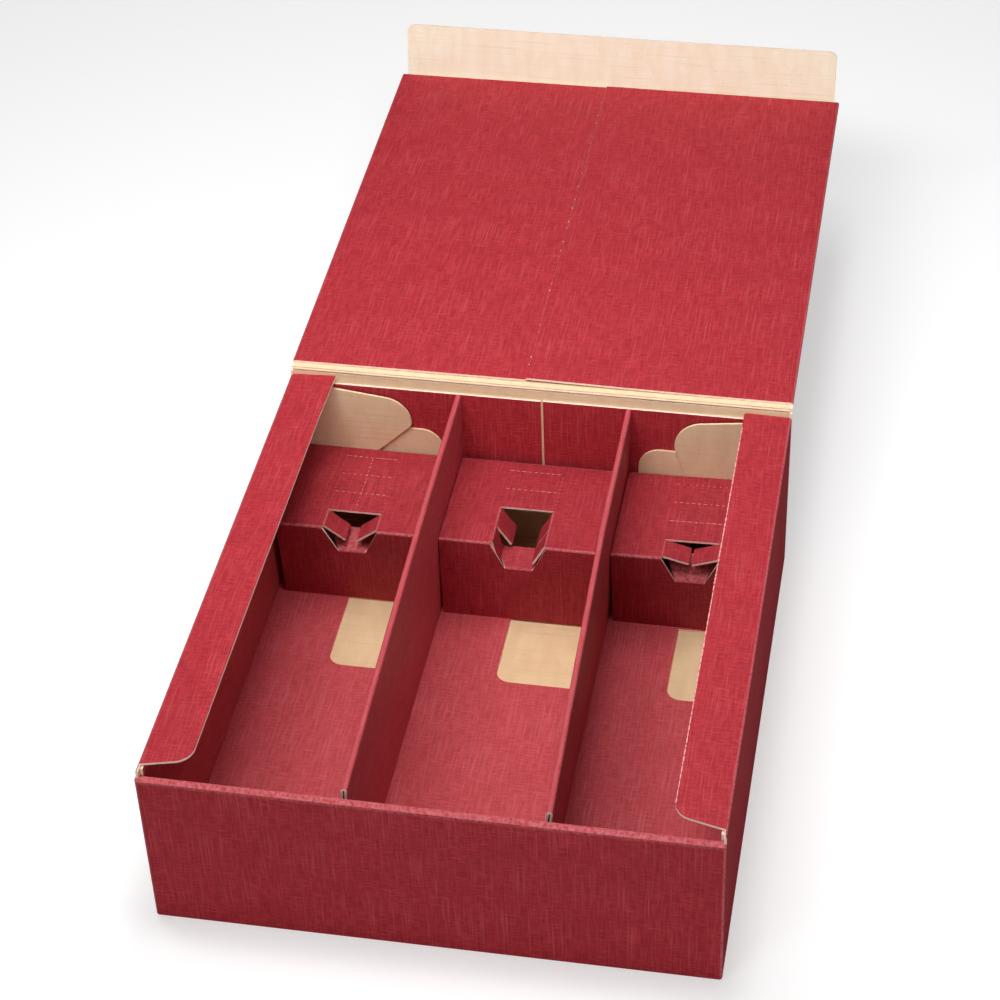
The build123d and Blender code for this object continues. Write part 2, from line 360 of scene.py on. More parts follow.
@dataclass(frozen=True)
class KraftLiner:
    """Unbleached inner liner of the card, calendered paper laid over the flutes.

    It scatters the light almost evenly. The flutes press through as faint lines, long fibres
    cloud it, and a few dark specks of bark lie in it.
    """

    name: str = "unbleached_kraft_liner"
    colour: str = "EBD0AB"
    cloud_colour: str = "E1C29B"
    line_colour: str = "D7B58E"
    speck_colour: str = "9C7757"
    flute_pitch: float = 3.6  # every second flute, because single ones are finer than a pixel
    roughness: float = 0.82

    def build(self) -> bpy.types.Material:
        """Build the material from the sheet's own map.

        Returns:
            The material.
        """
        material, tree = start_material(self.name)
        place = add_node(tree, "ShaderNodeUVMap", {"uv_map": SHEET_MAP}).outputs[0]
        cloud = stretched_noise(tree, place, (9.0, 26.0), 11.0, 4.0)
        flute = stretched_noise(tree, place, (70.0, self.flute_pitch / 2), 12.0)
        speck = stretched_noise(tree, place, (1.1, 1.1), 13.0, 0.0)
        colour = linear(self.colour)
        colour = lay_colour(tree, colour, self.cloud_colour, cloud, (0.36, 0.66), 0.7)
        colour = lay_colour(tree, colour, self.line_colour, flute, (0.56, 0.72), 0.45)
        colour = lay_colour(tree, colour, self.speck_colour, speck, (0.80, 0.84), 0.6)
        relief = add_node(
            tree, "ShaderNodeMath", {"operation": "MULTIPLY_ADD"}, {0: cloud, 1: 0.4, 2: flute}
        ).outputs[0]
        close_surface(tree, colour, relief, (0.35, 0.3), self.roughness, 0.25)
        return material


@dataclass(frozen=True)
class FlutedEdge:
    """Raw die-cut edge of the card, with the ends of its flutes between the two liners.

    Cut fibres stand up and scatter the light, and the mouths of the flutes dot the edge with
    shade.
    """

    name: str = "die_cut_flute_edge"
    colour: str = "F7DCCE"
    mouth_colour: str = "E2BDAE"
    flute_pitch: float = 1.8
    roughness: float = 0.9

    def build(self) -> bpy.types.Material:
        """Build the material from the object's own coordinates.

        Returns:
            The material.
        """
        material, tree = start_material(self.name)
        place = add_node(tree, "ShaderNodeTexCoord").outputs["Object"]
        mouth = stretched_noise(tree, place, (self.flute_pitch, self.flute_pitch), 21.0, 2.0)
        edge = linear(self.colour)
        colour = lay_colour(tree, edge, self.mouth_colour, mouth, (0.50, 0.70), 0.65)
        close_surface(tree, colour, mouth, (0.5, 0.4), self.roughness, 0.2)
        return material


@dataclass(frozen=True)
class StudioPaper:
    """Matte white sweep of background paper, which keeps the object's soft shadow.

    The camera sees it pure white where nothing shades it.
    """

    name: str = "matte_background_paper"
    colour: str = "CBCBCB"
    grain_colour: str = "CECECD"
    mirrored_colour: str = "303030"
    grain_size: float = 2.0
    lift: float = 0.5

    def build(self) -> bpy.types.Material:
        """Build the material, lifted to white for the camera alone.

        Returns:
            The material.
        """
        material, tree = start_material(self.name)
        place = add_node(tree, "ShaderNodeTexCoord").outputs["Object"]
        grain = stretched_noise(tree, place, (self.grain_size, self.grain_size), 31.0, 3.0)
        ray = add_node(tree, "ShaderNodeLightPath")
        colour = linear(self.colour)
        colour = lay_colour(tree, colour, self.grain_colour, grain, (0.3, 0.7), 0.5)
        colour = lay_colour(tree, colour, self.mirrored_colour, ray.outputs["Is Glossy Ray"])
        paper = add_node(
            tree, "ShaderNodeBsdfPrincipled", inputs={"Base Color": colour, "Roughness": 0.95}
        )
        seen = add_node(
            tree,
            "ShaderNodeMath",
            {"operation": "MULTIPLY"},
            {0: ray.outputs["Is Camera Ray"], 1: self.lift},
        )
        glow = add_node(tree, "ShaderNodeEmission", inputs={"Strength": seen.outputs[0]})
        both = add_node(
            tree, "ShaderNodeAddShader", inputs={0: paper.outputs[0], 1: glow.outputs[0]}
        )
        add_node(tree, "ShaderNodeOutputMaterial", inputs={"Surface": both.outputs[0]})
        return material


@dataclass
class Finishes:
    """The materials of the card, built once and shared by every sheet."""

    prints: dict[CardSlot, bpy.types.Material]
    kraft: bpy.types.Material
    edge: bpy.types.Material
    nick: bpy.types.Material
    # a paler copy of the kraft liner, as painted light on the tuck flap
    lit_flap_kraft: bpy.types.Material
    # a darker copy of the kraft liner, as painted shade on the base
    shaded_base_kraft: bpy.types.Material

    @classmethod
    def build(cls) -> Finishes:
        """Build the prints of the three kinds of sheet, the kraft liner and the raw edges, with
        lighter and darker copies of print and kraft that stand for painted light and shade.

        Returns:
            The materials.
        """
        prints = {
            CardSlot.CASE: LinenPrint().build(),
            # painted shade: a darker copy of the print for the cradles
            CardSlot.CRADLE: LinenPrint(
                "linen_print_paper_cradles", "A8343B", "8E2730", "BE5058"
            ).build(),
            # painted light: a lighter, pinker copy of the print for the insert, as sheen on its
            # floor
            CardSlot.INSERT: LinenPrint(
                "linen_print_paper_insert", "BE4D53", "AA3F45", "CE7075", "DC757B", 0.16
            ).build(),
        }
        nick = FlutedEdge("torn_print_fibres", "E9A5A1", "B95A5E")
        # painted light: a paler copy of the kraft liner for the tuck flap
        flap = KraftLiner("unbleached_kraft_liner_flap", "F1E5D0", "EBD9BC", "E2CDB0")
        # painted shade: a darker copy of the kraft liner for the base
        base = KraftLiner("unbleached_kraft_liner_base", "DCBF97", "D2B18A", "C8A57C")
        looks = (KraftLiner(), FlutedEdge(), nick, flap, base)
        return cls(prints, *(look.build() for look in looks))


# Folded card


@dataclass(frozen=True)
class Card:
    """Micro-flute card and the clearances that it is folded and assembled with."""

    board: float = 1.5
    ply_gap: float = 0.2
    fit_gap: float = 0.3
    crease_gap: float = 0.3
    tight_fold: float = 0.3  # radius of the kraft face on the inside of a fold
    fold_segments: int = 4
    fold_angle: float = 15.0  # degrees from which an edge counts as a fold
    slim_strip: float = 0.2  # a strip between two folds up to this width belongs to their crown
    fold_share: float = 0.46  # a fold takes up at most this share of a panel
    touch_gap: float = 0.1  # plies that touch are drawn this far apart
    hair: float = 0.01  # lengths closer than this are the same


class FoldedSheet:
    """One folded sheet of card, drawn as its kraft face with normals towards the print."""

    end_wall: float = 0.75  # from this share of Y in its normal, a panel's grain stands upright
    sharp_angle: float = 32.0  # degrees from which an edge is drawn sharp
    map_shift: float = 0.013  # metres between the maps of sheets, so that their streaks differ
    map_slant: float = 1.7

    def __init__(self, name: str, card: Card) -> None:
        """Start an empty sheet.

        Args:
            name: Name of the finished piece.
            card: The card that it is folded from.
        """
        self.name = name
        self.card = card
        self.mesh = bmesh.new()
        self.fold_layer = self.mesh.verts.layers.float.new(FOLD_LAYER)

    def sweep(self, section: Sequence[Vector], shift: Vector, facing: Vector) -> None:
        """Draw a section and sweep it into folded panels.

        Args:
            section: Corners of the section, in order.
            shift: Sweep of the section.
            facing: Print side of the first panel.
        """
        corners = [self.mesh.verts.new(point) for point in section]
        runs = [self.mesh.edges.new(pair) for pair in zip(corners, corners[1:])]
        made = bmesh.ops.extrude_edge_only(self.mesh, edges=runs)
        moved = [item for item in made["geom"] if isinstance(item, bmesh.types.BMVert)]
        bmesh.ops.translate(self.mesh, verts=moved, vec=shift)
        self.turn_to(facing, (section[0] + section[1] + shift) / 2)

    def outline(self, points: Sequence[Vector], facing: Vector) -> None:
        """Draw one flat panel from its corners.

        Args:
            points: Corners of the panel, in order.
            facing: Print side of the panel.
        """
        corners = [self.mesh.verts.new(point) for point in points]
        runs = [
            self.mesh.edges.new(pair) for pair in zip(corners, corners[1:] + corners[:1])
        ]
        bmesh.ops.contextual_create(self.mesh, geom=corners + runs)
        self.turn_to(facing, sum(points, Vector()) / len(points))

    def turn_to(self, facing: Vector, near: Vector) -> None:
        """Turn every face so that the print side of the panel nearest a point faces outwards.

        Args:
            facing: Print side of that panel.
            near: Point on or near that panel.
        """
        bmesh.ops.recalc_face_normals(self.mesh, faces=self.mesh.faces[:])
        panel = min(self.mesh.faces, key=lambda face: (face.calc_center_median() - near).length)
        if panel.normal.dot(facing) < 0:
            bmesh.ops.reverse_faces(self.mesh, faces=self.mesh.faces[:])

    def cut(
        self, point: Vector, beyond: Vector, where: FaceTest | None = None, clear: bool = True
    ) -> None:
        """Cut panels along a plane, and drop what lies beyond it.

        Args:
            point: Point on the plane.
            beyond: Direction of the side that is dropped.
            where: Test for the panels that are cut, or None for all.
            clear: Whether the far side is dropped.
        """
        chosen = [face for face in self.mesh.faces if where is None or where(face)]
        # dictionaries keep the order of the mesh, which sets would lose
        touched = dict.fromkeys(edge for face in chosen for edge in face.edges)
        corners = dict.fromkeys(corner for face in chosen for corner in face.verts)
        bmesh.ops.bisect_plane(
            self.mesh,
            geom=[*chosen, *touched, *corners],
            dist=1e-4,
            plane_co=point,
            plane_no=beyond,
        )
        if clear:
            self.drop(
                lambda face: (where is None or where(face))
                and (face.calc_center_median() - point).dot(beyond) > 0
            )

    def drop(self, where: FaceTest) -> None:
        """Remove the faces that pass a test.

        Args:
            where: Test for the faces to remove.
        """
        gone = [face for face in self.mesh.faces if where(face)]
        bmesh.ops.delete(self.mesh, geom=gone, context="FACES")

    def merge(self, where: FaceTest) -> None:
        """Join the flat faces that pass a test into one panel.

        Args:
            where: Test for the faces to join.
        """
        chosen = [face for face in self.mesh.faces if where(face)]
        bmesh.ops.dissolve_faces(self.mesh, faces=chosen, use_verts=False)

    def grow(self, where: EdgeTest, shift: Vector) -> list[bmesh.types.BMVert]:
        """Grow a panel from free edges.

        Args:
            where: Test for the free edges.
            shift: Reach of the new panel.

        Returns:
            The far corners of the new panel.
        """
        roots = [edge for edge in self.mesh.edges if edge.is_boundary and where(edge)]
        made = bmesh.ops.extrude_edge_only(self.mesh, edges=roots)
        far = [item for item in made["geom"] if isinstance(item, bmesh.types.BMVert)]
        bmesh.ops.translate(self.mesh, verts=far, vec=shift)
        return far

    def corner(self, at: Vector) -> bmesh.types.BMVert:
        """The corner of the sheet nearest to a point."""
        return min(self.mesh.verts, key=lambda vertex: (vertex.co - at).length)

    def round_corner(self, at: Vector, radius: float, segments: int = 6) -> None:
        """Round a corner of the outline.

        Args:
            at: Place of the corner.
            radius: Radius of the rounding.
            segments: Straight pieces of the rounding.
        """
        bmesh.ops.bevel(
            self.mesh,
            geom=[self.corner(at)],
            offset=radius,
            offset_type="OFFSET",
            segments=segments,
            profile=0.5,
            affect="VERTICES",
            material=-1,
        )

    def fold(self, outer_radius: float | None = None) -> None:
        """Round every fold, and mark its crown for the rubbed colour, which is wear and painted
        sheen.

        Args:
            outer_radius: Radius of the kraft face where the print lies outside a fold, or None
                for the card's tight one.
        """
        wide = self.card.board + self.card.tight_fold
        narrow = self.card.tight_fold if outer_radius is None else outer_radius
        least = math.radians(self.card.fold_angle)
        groups: dict[float, list[bmesh.types.BMEdge]] = {}
        for edge in self.mesh.edges:
            if len(edge.link_faces) != 2 or edge.calc_face_angle(0.0) < least:
                continue
            radius = narrow if edge.calc_face_angle_signed() > 0 else wide
            widths = [face.calc_area() / edge.calc_length() for face in edge.link_faces]
            radius = min(radius, self.card.fold_share * min(widths))
            groups.setdefault(round(radius, 3), []).append(edge)
        curved: set[bmesh.types.BMFace] = set()
        for radius in sorted(groups, reverse=True):
            alive = [edge for edge in groups[radius] if edge.is_valid]
            made = bmesh.ops.bevel(
                self.mesh,
                geom=alive,
                offset=radius,
                offset_type="OFFSET",
                segments=self.card.fold_segments,
                profile=0.5,
                affect="EDGES",
                clamp_overlap=True,
                material=-1,
            )
            curved.update(made["faces"])
        curved = {face for face in curved if face.is_valid}
        for face in self.mesh.faces:
            longest = max(edge.calc_length() for edge in face.edges)
            if face.calc_area() < self.card.slim_strip * longest:
                curved.add(face)
        for vertex in self.mesh.verts:
            if vertex.link_faces and all(face in curved for face in vertex.link_faces):
                vertex[self.fold_layer] = 1.0

    def refine(
        self, axis: Vector, places: Iterable[float], where: FaceTest | None = None
    ) -> None:
        """Divide the sheet by parallel cuts, so that it can bow.

        Args:
            axis: Direction that the cuts are spread along.
            places: Place of each cut.
            where: Test for the panels that are divided, or None for all.
        """
        for place in places:
            self.cut(axis * place, axis, where, clear=False)

    def bow(self, rise: Callable[[Vector], Vector]) -> None:
        """Move every corner by a small amount that depends on its place.

        Args:
            rise: Shift of a point.
        """
        for vertex in self.mesh.verts:
            vertex.co += rise(vertex.co)

    def lay_map(self) -> None:
        """Lay the sheet's own map in metres, with its second direction along the grain."""
        offset = sum(map(ord, self.name)) % 97 * self.map_shift
        layer = self.mesh.loops.layers.uv.new(SHEET_MAP)
        for face in self.mesh.faces:
            grain = Z if abs(face.normal.y) > self.end_wall else Y
            along = (grain - face.normal * face.normal.dot(grain)).normalized()
            aside = face.normal.cross(along)
            for loop in face.loops:
                place = loop.vert.co * METRES
                across, down = place.dot(aside), place.dot(along)
                loop[layer].uv = (across + offset, down + offset * self.map_slant)

    def finish(
        self,
        finishes: Finishes,
        body: CardBody = CardBody.CASE,
        slot: CardSlot = CardSlot.CASE,
        stand_for: str | None = None,
        place: Matrix | None = None,
    ) -> None:
        """Give the sheet its thickness and finishes, and fix it to its body.

        Args:
            finishes: Materials of the card.
            body: Body that the piece moves with.
            slot: Material slot that it takes its finish from.
            stand_for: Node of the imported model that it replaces.
            place: Move from the sheet's own frame to the box's frame, in millimetres.
        """
        self.mesh.normal_update()
        self.lay_map()
        if place is not None:
            bmesh.ops.transform(self.mesh, matrix=place, verts=self.mesh.verts[:])
        bmesh.ops.scale(self.mesh, vec=(METRES,) * 3, verts=self.mesh.verts[:])
        for face in self.mesh.faces:
            face.smooth = True
        data = bpy.data.meshes.new(self.name)
        self.mesh.to_mesh(data)
        self.mesh.free()
        flat = add_object(self.name + "_face", data)
        for material in (finishes.prints[slot], finishes.kraft, finishes.edge):
            data.materials.append(material)
        thick = flat.modifiers.new("thickness", "SOLIDIFY")
        thick.thickness = self.card.board * METRES
        thick.offset = 1.0
        thick.use_even_offset = True
        thick.use_quality_normals = True
        thick.material_offset = 1
        thick.material_offset_rim = 2
        bpy.context.view_layer.update()
        solid = bpy.data.meshes.new_from_object(
            flat.evaluated_get(bpy.context.evaluated_depsgraph_get())
        )
        solid.name = self.name
        solid.set_sharp_from_angle(angle=math.radians(self.sharp_angle))
        bpy.data.objects.remove(flat)
        fix_piece(add_object(self.name, solid), body, stand_for)


def fix_piece(
    piece: bpy.types.Object, body: CardBody, stand_for: str | None = None
) -> None:
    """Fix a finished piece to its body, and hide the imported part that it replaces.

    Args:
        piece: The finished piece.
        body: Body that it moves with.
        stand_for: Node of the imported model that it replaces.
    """
    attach(piece, body.value)
    if stand_for is not None:
        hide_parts(stand_for)
    LOG.info("%s: %d faces", piece.name, len(piece.data.polygons))


def near(value: float, target: float, reach: float = 0.05) -> bool:
    """Whether a length lies within reach of another."""
    return abs(value - target) <= reach


def edge_within(low: Vector, high: Vector, hair: float) -> EdgeTest:
    """Test for an edge that lies inside a box.

    Args:
        low: Lowest corner of the box.
        high: Highest corner of the box.
        hair: Distance by which an end may stand out of it.

    Returns:
        The test.
    """

    def test(edge: bmesh.types.BMEdge) -> bool:
        """Whether both ends of an edge lie inside the box."""
        return all(
            low[axis] - hair <= end.co[axis] <= high[axis] + hair
            for end in edge.verts
            for axis in range(3)
        )

    return test


# Case


@dataclass
class Case:
    """Outer case: base, rolled front wall, back wall, side walls with their top flaps, ears."""

    finishes: Finishes
    card: Card = Card()
    width: float = 340.0
    depth: float = 378.0
    crease_height: float = 130.0
    front_drop: float = 8.5
    roll_gap: float = 0.4
    roll_foot_gap: float = 0.3
    corner_return: float = 2.5  # the end walls wrap round their corners by this much
    corner_seam: float = 0.2
    flap_widths: tuple[float, float] = (30.0, 31.4)
    flap_lift: float = 1.6
    flap_start: float = 4.4
    flap_mitre_rise: float = 6.4
    flap_corner_radius: float = 9.0
    flap_back_radius: float = 1.5
    flap_reaches: tuple[float, float] = (1.5, 4.0)  # back end of the left flap, fold and free edge
    flap_flare: float = 1.5  # and its free edge comes in by this much there
    flap_tail: float = 49.0  # length of that end
    flap_root: float = 2.0  # the fold of a flap starts this far under its crown
    flap_wave: float = 0.35  # height of the wave of a free edge
    flap_wave_length: float = 47.0  # length of the wave per radian
    flap_phases: tuple[float, float] = (2.4, 1.0)
    flap_sink: float = 0.25
    flap_cuts: Iterable[float] = range(-170, 184, 14)
    front_splay: float = 2.5  # the rim of the front wall stands out by this much
    front_feet: tuple[float, float] = (0.0, 2.0)  # its foot stands back, left and right
    front_end: float = 0.9  # its rim reaches further left than the side does
    front_dip: float = 0.9  # its rim dips by this much in the middle
    front_hollow: float = 0.6  # and stands back by this much there
    front_stiff: float = 0.3  # share of its height that keeps straight
    front_cuts: Iterable[float] = range(-160, 168, 20)
    back_cuts: Iterable[float] = range(-160, 168, 40)
    splay_start: float = -100.0
    left_lean: float = 2.0  # the left wall leans inwards from its foot to its fold
    left_foot: float = 2.0  # and its foot stands out by this much
    left_zone: tuple[float, float] = (149.6, 166.6)  # from the middle: start and full effect
    lining_drop: float = 8.5
    lining_steps: tuple[float, float] = (0.3, 0.0)  # the left wing ends lower
    lining_seam: float = 2.8  # place of the seam between the two wings of the lining
    lining_gap: float = 1.6
    ear_widths: tuple[float, float] = (83.0, 77.0)
    ear_top_slope: float = 9.8
    ear_corner_radius: float = 17.5
    ear_side_length: float = 2.0
    ear_root: float = 14.0
    ear_rest: float = 1.0  # upright edge left under the slant
    ear_foot_radius: float = 1.5
    ear_slants: tuple[float, float] = (1.0, 0.36)  # outwards per millimetre down
    low_ear_sizes: tuple[tuple[float, float], ...] = ((103.6, 89.3), (101.4, 89.5))
    ear_drops: tuple[float, float] = (1.2, 0.3)
    low_ear_radius: float = 15.0
    fibre_ends: tuple[float, float] = (6.0, 20.0)  # bare ends of the torn free edge
    fibre_lengths: tuple[float, float] = (2.0, 8.0)
    fibre_widths: tuple[float, float] = (0.6, 1.0)
    fibre_gaps: tuple[float, float] = (0.0, 0.7)
    fibre_overlap: float = 0.1  # share of its length that the next fibre covers
    fibre_inset: float = 0.35

    @property
    def half_width(self) -> float:
        """Half the outside width."""
        return self.width / 2

    @property
    def half_depth(self) -> float:
        """Half the outside depth."""
        return self.depth / 2

    @property
    def side_inner(self) -> float:
        """Inner face of a side wall."""
        return self.half_width - self.card.board

    @property
    def crease_y(self) -> float:
        """Middle of the back wall's ply, where the lid is creased."""
        return self.half_depth - self.card.board / 2

    @property
    def lining_level(self) -> float:
        """Underside of the closed lid."""
        return self.crease_height - 1.5 * self.card.board - self.card.ply_gap

    @property
    def flap_top(self) -> float:
        """Free edge of a top flap."""
        return self.lining_level - self.card.fit_gap

    @property
    def side_height(self) -> float:
        """Fold of a side wall into its top flap."""
        return self.flap_top - self.flap_lift

    @property
    def front_height(self) -> float:
        """Ridge of the rolled front wall."""
        return self.lining_level - self.front_drop

    @property
    def front_inner(self) -> float:
        """Inner face of the rolled front wall."""
        return -self.half_depth + 2 * self.card.board + self.roll_gap

    @property
    def back_inner(self) -> float:
        """Inner face of the back wall."""
        return self.half_depth - self.card.board

    @property
    def lining_front(self) -> float:
        """Front face of the back wall's lining."""
        return self.back_inner - self.card.board

    @property
    def high_ear_face(self) -> float:
        """Back face of the high ears."""
        return self.lining_front - 2 * self.card.ply_gap - self.card.board

    @property
    def low_ear_face(self) -> float:
        """Kraft face of the low ears."""
        return self.lining_front - self.card.ply_gap - self.card.board

    @property
    def ear_foot(self) -> float:
        """Foot of the ears, on the insert's floor."""
        return 2 * self.card.board + self.card.fit_gap

    @property
    def wall_touch(self) -> float:
        """End of a ply that touches a side wall from within."""
        return self.side_inner - self.card.touch_gap

    def build(self) -> None:
        """Build and dress every sheet of the case."""
        self.build_sides()
        self.build_front()
        self.build_back()
        self.build_fibres()
        for side in Side:
            self.build_lining(side)
            self.build_low_ear(side)
            self.build_high_ear(side)

    def build_sides(self) -> None:
        """Build the base with both side walls and their top flaps, as one folded sheet."""
        board = self.card.board
        sheet = FoldedSheet("case_sides", self.card)
        left, right = (self.half_width - width for width in self.flap_widths)
        front = -self.half_depth + self.corner_return + self.corner_seam
        section = [
            (-left, self.flap_top - board),
            (-self.side_inner, self.side_height - board),
            (-self.side_inner, board),
            (self.side_inner, board),
            (self.side_inner, self.side_height - board),
            (right, self.flap_top - board),
        ]
        sheet.sweep([Vector((x, front, z)) for x, z in section], Y * -2 * front, Z)
        sheet.fold()

        # mitred front of each flap, and its rounded corners
        flap_front = self.front_inner + self.flap_start
        for side, width, free_edge in zip(Side, self.flap_widths, (left, right)):
            sign = side.value
            beyond = Vector((-sign * self.flap_mitre_rise, -width, 0)).normalized()
            corner = Vector((sign * self.half_width, flap_front, 0))
            sheet.cut(corner, beyond, self.flap_test(sign))
            inner = Vector((sign * free_edge, flap_front + self.flap_mitre_rise, self.flap_top))
            sheet.round_corner(inner, self.flap_corner_radius, 8)
            back = Vector((sign * free_edge, -front, self.flap_top))
            sheet.round_corner(back, self.flap_back_radius)

        sheet.refine(Y, self.flap_cuts)
        sheet.bow(self.flap_bow)
        sheet.bow(self.settle)
        # painted shade: the base, seen through the windows, takes the darker copy of the kraft
        shaded = replace(self.finishes, kraft=self.finishes.shaded_base_kraft)
        sheet.finish(shaded, stand_for="tray")

    def flap_test(self, sign: int) -> FaceTest:
        """Test for the faces of one top flap.

        Args:
            sign: Side of the flap, as the sign of X.

        Returns:
            The test.
        """
        foot = self.side_height - self.card.board - 2 * self.card.hair

        def test(face: bmesh.types.BMFace) -> bool:
            """Whether a face belongs to the flap."""
            middle = face.calc_center_median()
            return middle.x * sign > 0 and middle.z > foot

        return test

    def settle(self, point: Vector) -> Vector:
        """Stand of the folded walls: the front wall splays out and the left one leans in.

        Args:
            point: Point on a sheet of the case or of the insert.

        Returns:
            Its shift.
        """
        height = point.z / self.side_height
        reach = self.splay_start - self.front_inner
        front = min(1.0, max(0.0, (self.splay_start - point.y) / reach))
        shift = self.left_share(point) * (self.left_lean * height - self.left_foot)
        near_foot, far_foot = self.front_feet
        foot = near_foot + (far_foot - near_foot) * (0.5 + point.x / (2 * self.half_width))
        return Vector((shift, front * (foot * (1 - height) - self.front_splay * height), 0))

    def left_share(self, point: Vector) -> float:
        """How fully a point follows the left wall, from 0 to 1."""
        start, full = self.left_zone
        return min(1.0, max(0.0, (-point.x - start) / (full - start)))

    def build_fibres(self) -> None:
        """Build the torn fibres along the free edge of the right top flap."""
        rng = random.Random(9)
        marks = DashMarks("flap_edge_fibres", self.finishes.nick)
        free_edge = self.half_width - self.flap_widths[1] + self.fibre_inset
        front_end, back_end = self.fibre_ends
        place = self.front_inner + self.flap_start + self.flap_mitre_rise + front_end
        while place < self.half_depth - back_end:
            length = rng.uniform(*self.fibre_lengths)
            at = Vector((free_edge, place + length / 2, self.flap_top))
            marks.add(at + self.flap_bow(at), length, rng.uniform(*self.fibre_widths), Y)
            place += length * (1 - self.fibre_overlap) + rng.uniform(*self.fibre_gaps)
        marks.finish()

    def flap_bow(self, point: Vector) -> Vector:
        """Slight wave of a flap's free edge, and the longer back end of the left flap.

        Args:
            point: Point on the sheet.

        Returns:
            Its shift.
        """
        if point.z < self.side_height - self.flap_root:
            return Vector()
        share = max(0.0, (self.side_inner - abs(point.x)) / self.flap_widths[0])
        phase = self.flap_phases[1 if point.x > 0 else 0]
        wave = self.flap_wave * math.sin(point.y / self.flap_wave_length + phase)
        shift = Z * (share * (wave - self.flap_sink))
        back = 1 - (self.half_depth - point.y) / self.flap_tail
        if point.x < 0 and back > 0:
            low, high = self.flap_reaches
            reach = low + (high - low) * share
            shift += Vector((self.flap_flare * share * back, back * reach, 0))
        return shift

    def build_front(self) -> None:
        """Build the rolled front wall with its returns round the corners."""
        board = self.card.board
        outer = -self.half_depth + board
        sheet = FoldedSheet("case_front_wall", self.card)
        section = [
            Vector((-self.side_inner, outer, board)),
            Vector((-self.side_inner, outer, self.front_height - board)),
            Vector((-self.side_inner, outer + self.roll_gap, self.front_height - board)),
            Vector((-self.side_inner, outer + self.roll_gap, board + self.roll_foot_gap)),
        ]
        sheet.sweep(section, X * 2 * self.side_inner, -Y)
        self.wrap_corners(sheet, outer, self.front_height - board, 1.0)
        sheet.turn_to(-Y, Vector((0, outer, self.front_height / 2)))
        sheet.fold()
        # painted highlight: the ridge above the rim takes the full rubbed colour as a pale band
        rim = self.front_height - 2 * board
        sheet.cut(Z * rim, Z, clear=False)
        for vertex in sheet.mesh.verts:
            if vertex.co.z > rim + 2 * self.card.hair:
                vertex[sheet.fold_layer] = 1.0
        trim = self.side_inner - self.card.fit_gap
        for side in Side:
            sheet.cut(
                X * side.value * trim,
                X * side.value,
                lambda face: face.calc_center_median().y
                > outer + self.roll_gap - self.card.hair
                and face.normal.y > FACING,
            )
        sheet.refine(X, self.front_cuts)
        sheet.bow(self.front_bow)
        sheet.finish(self.finishes)

    def front_bow(self, point: Vector) -> Vector:
        """Slight dip of the front ridge, and splay of the outer ply away from the inner one.

        Args:
            point: Point on the sheet.

        Returns:
            Its shift.
        """
        arch = 1 - (point.x / self.half_width) ** 2
        height = max(0.0, point.z / self.front_height - self.front_stiff)
        shift = self.settle(point)
        if point.y > -self.half_depth + self.card.board + self.roll_gap / 2:
            shift.y = max(0.0, shift.y)
        shift.x -= self.left_share(point) * self.front_end * height
        dip = Vector((0, self.front_hollow, -self.front_dip))
        return shift + dip * (arch * height)

    def wrap_corners(
        self, sheet: FoldedSheet, face_y: float, top: float, towards: float
    ) -> None:
        """Grow the narrow returns of an end wall round its two corners and its foot.

        Args:
            sheet: Sheet of the wall.
            face_y: Kraft face of the wall.
            top: Upper end of the returns.
            towards: Sign of Y that the returns reach to.
        """
        reach = Y * towards * (self.corner_return - self.card.board)
        hair = self.card.hair

        def is_root(edge: bmesh.types.BMEdge) -> bool:
            """Whether an edge is a side or the foot of the outer panel.

            Args:
                edge: Edge of the sheet.

            Returns:
                True where the return grows from it.
            """
            low, high = (vertex.co for vertex in edge.verts)
            if not (near(low.y, face_y, hair) and near(high.y, face_y, hair)):
                return False
            at_side = near(abs(low.x), self.side_inner) and near(low.x, high.x)
            at_foot = near(low.z, self.card.board) and near(high.z, self.card.board)
            return (at_side or at_foot) and max(low.z, high.z) < top + hair

        sheet.grow(is_root, reach)

    def build_back(self) -> None:
        """Build the back wall with its returns round the corners."""
        board = self.card.board
        top = self.crease_height - board / 2 - self.card.crease_gap
        sheet = FoldedSheet("case_back_wall", self.card)
        section = [
            Vector((-self.side_inner, self.back_inner, board)),
            Vector((-self.side_inner, self.back_inner, top)),
        ]
        sheet.sweep(section, X * 2 * self.side_inner, Y)
        self.wrap_corners(sheet, self.back_inner, top, -1.0)
        sheet.turn_to(Y, Vector((0, self.back_inner, top / 2)))
        sheet.fold()
        sheet.refine(X, self.back_cuts)
        sheet.bow(self.settle)
        sheet.finish(self.finishes)

    def build_lining(self, side: Side) -> None:
        """Build one wing of the back wall's lining.

        Args:
            side: Side that the wing is folded in from.
        """
        foot = self.card.board + self.card.touch_gap
        top = self.crease_height - self.lining_drop - side.pick(self.lining_steps)
        seam = self.lining_seam + side.value * self.lining_gap / 2
        edge = side.value * self.wall_touch
        face_y = self.back_inner - self.card.touch_gap / 2
        sheet = FoldedSheet(f"back_lining_{side.name.lower()}", self.card)
        points = [(seam, foot), (edge, foot), (edge, top), (seam, top)]
        sheet.outline([Vector((x, face_y, z)) for x, z in points], -Y)
        sheet.finish(self.finishes)

    def build_low_ear(self, side: Side) -> None:
        """Build the low ear that is folded across a back corner, behind the high one.

        Args:
            side: Side of the ear.
        """
        foot, face_y = self.ear_foot, self.low_ear_face
        root = side.value * self.wall_touch
        width, height = side.pick(self.low_ear_sizes)
        reach = side.value * (self.half_width - width)
        sheet = FoldedSheet(f"low_ear_{side.name.lower()}", self.card)
        points = [(root, foot), (reach, foot), (reach, height), (root, height)]
        sheet.outline([Vector((x, face_y, z)) for x, z in points], Y)
        sheet.round_corner(Vector((reach, face_y, height)), self.low_ear_radius, 8)
        # painted shade: the ear's cut edges take the darker kraft liner instead of the raw edge
        sheet.finish(replace(self.finishes, edge=self.finishes.kraft))

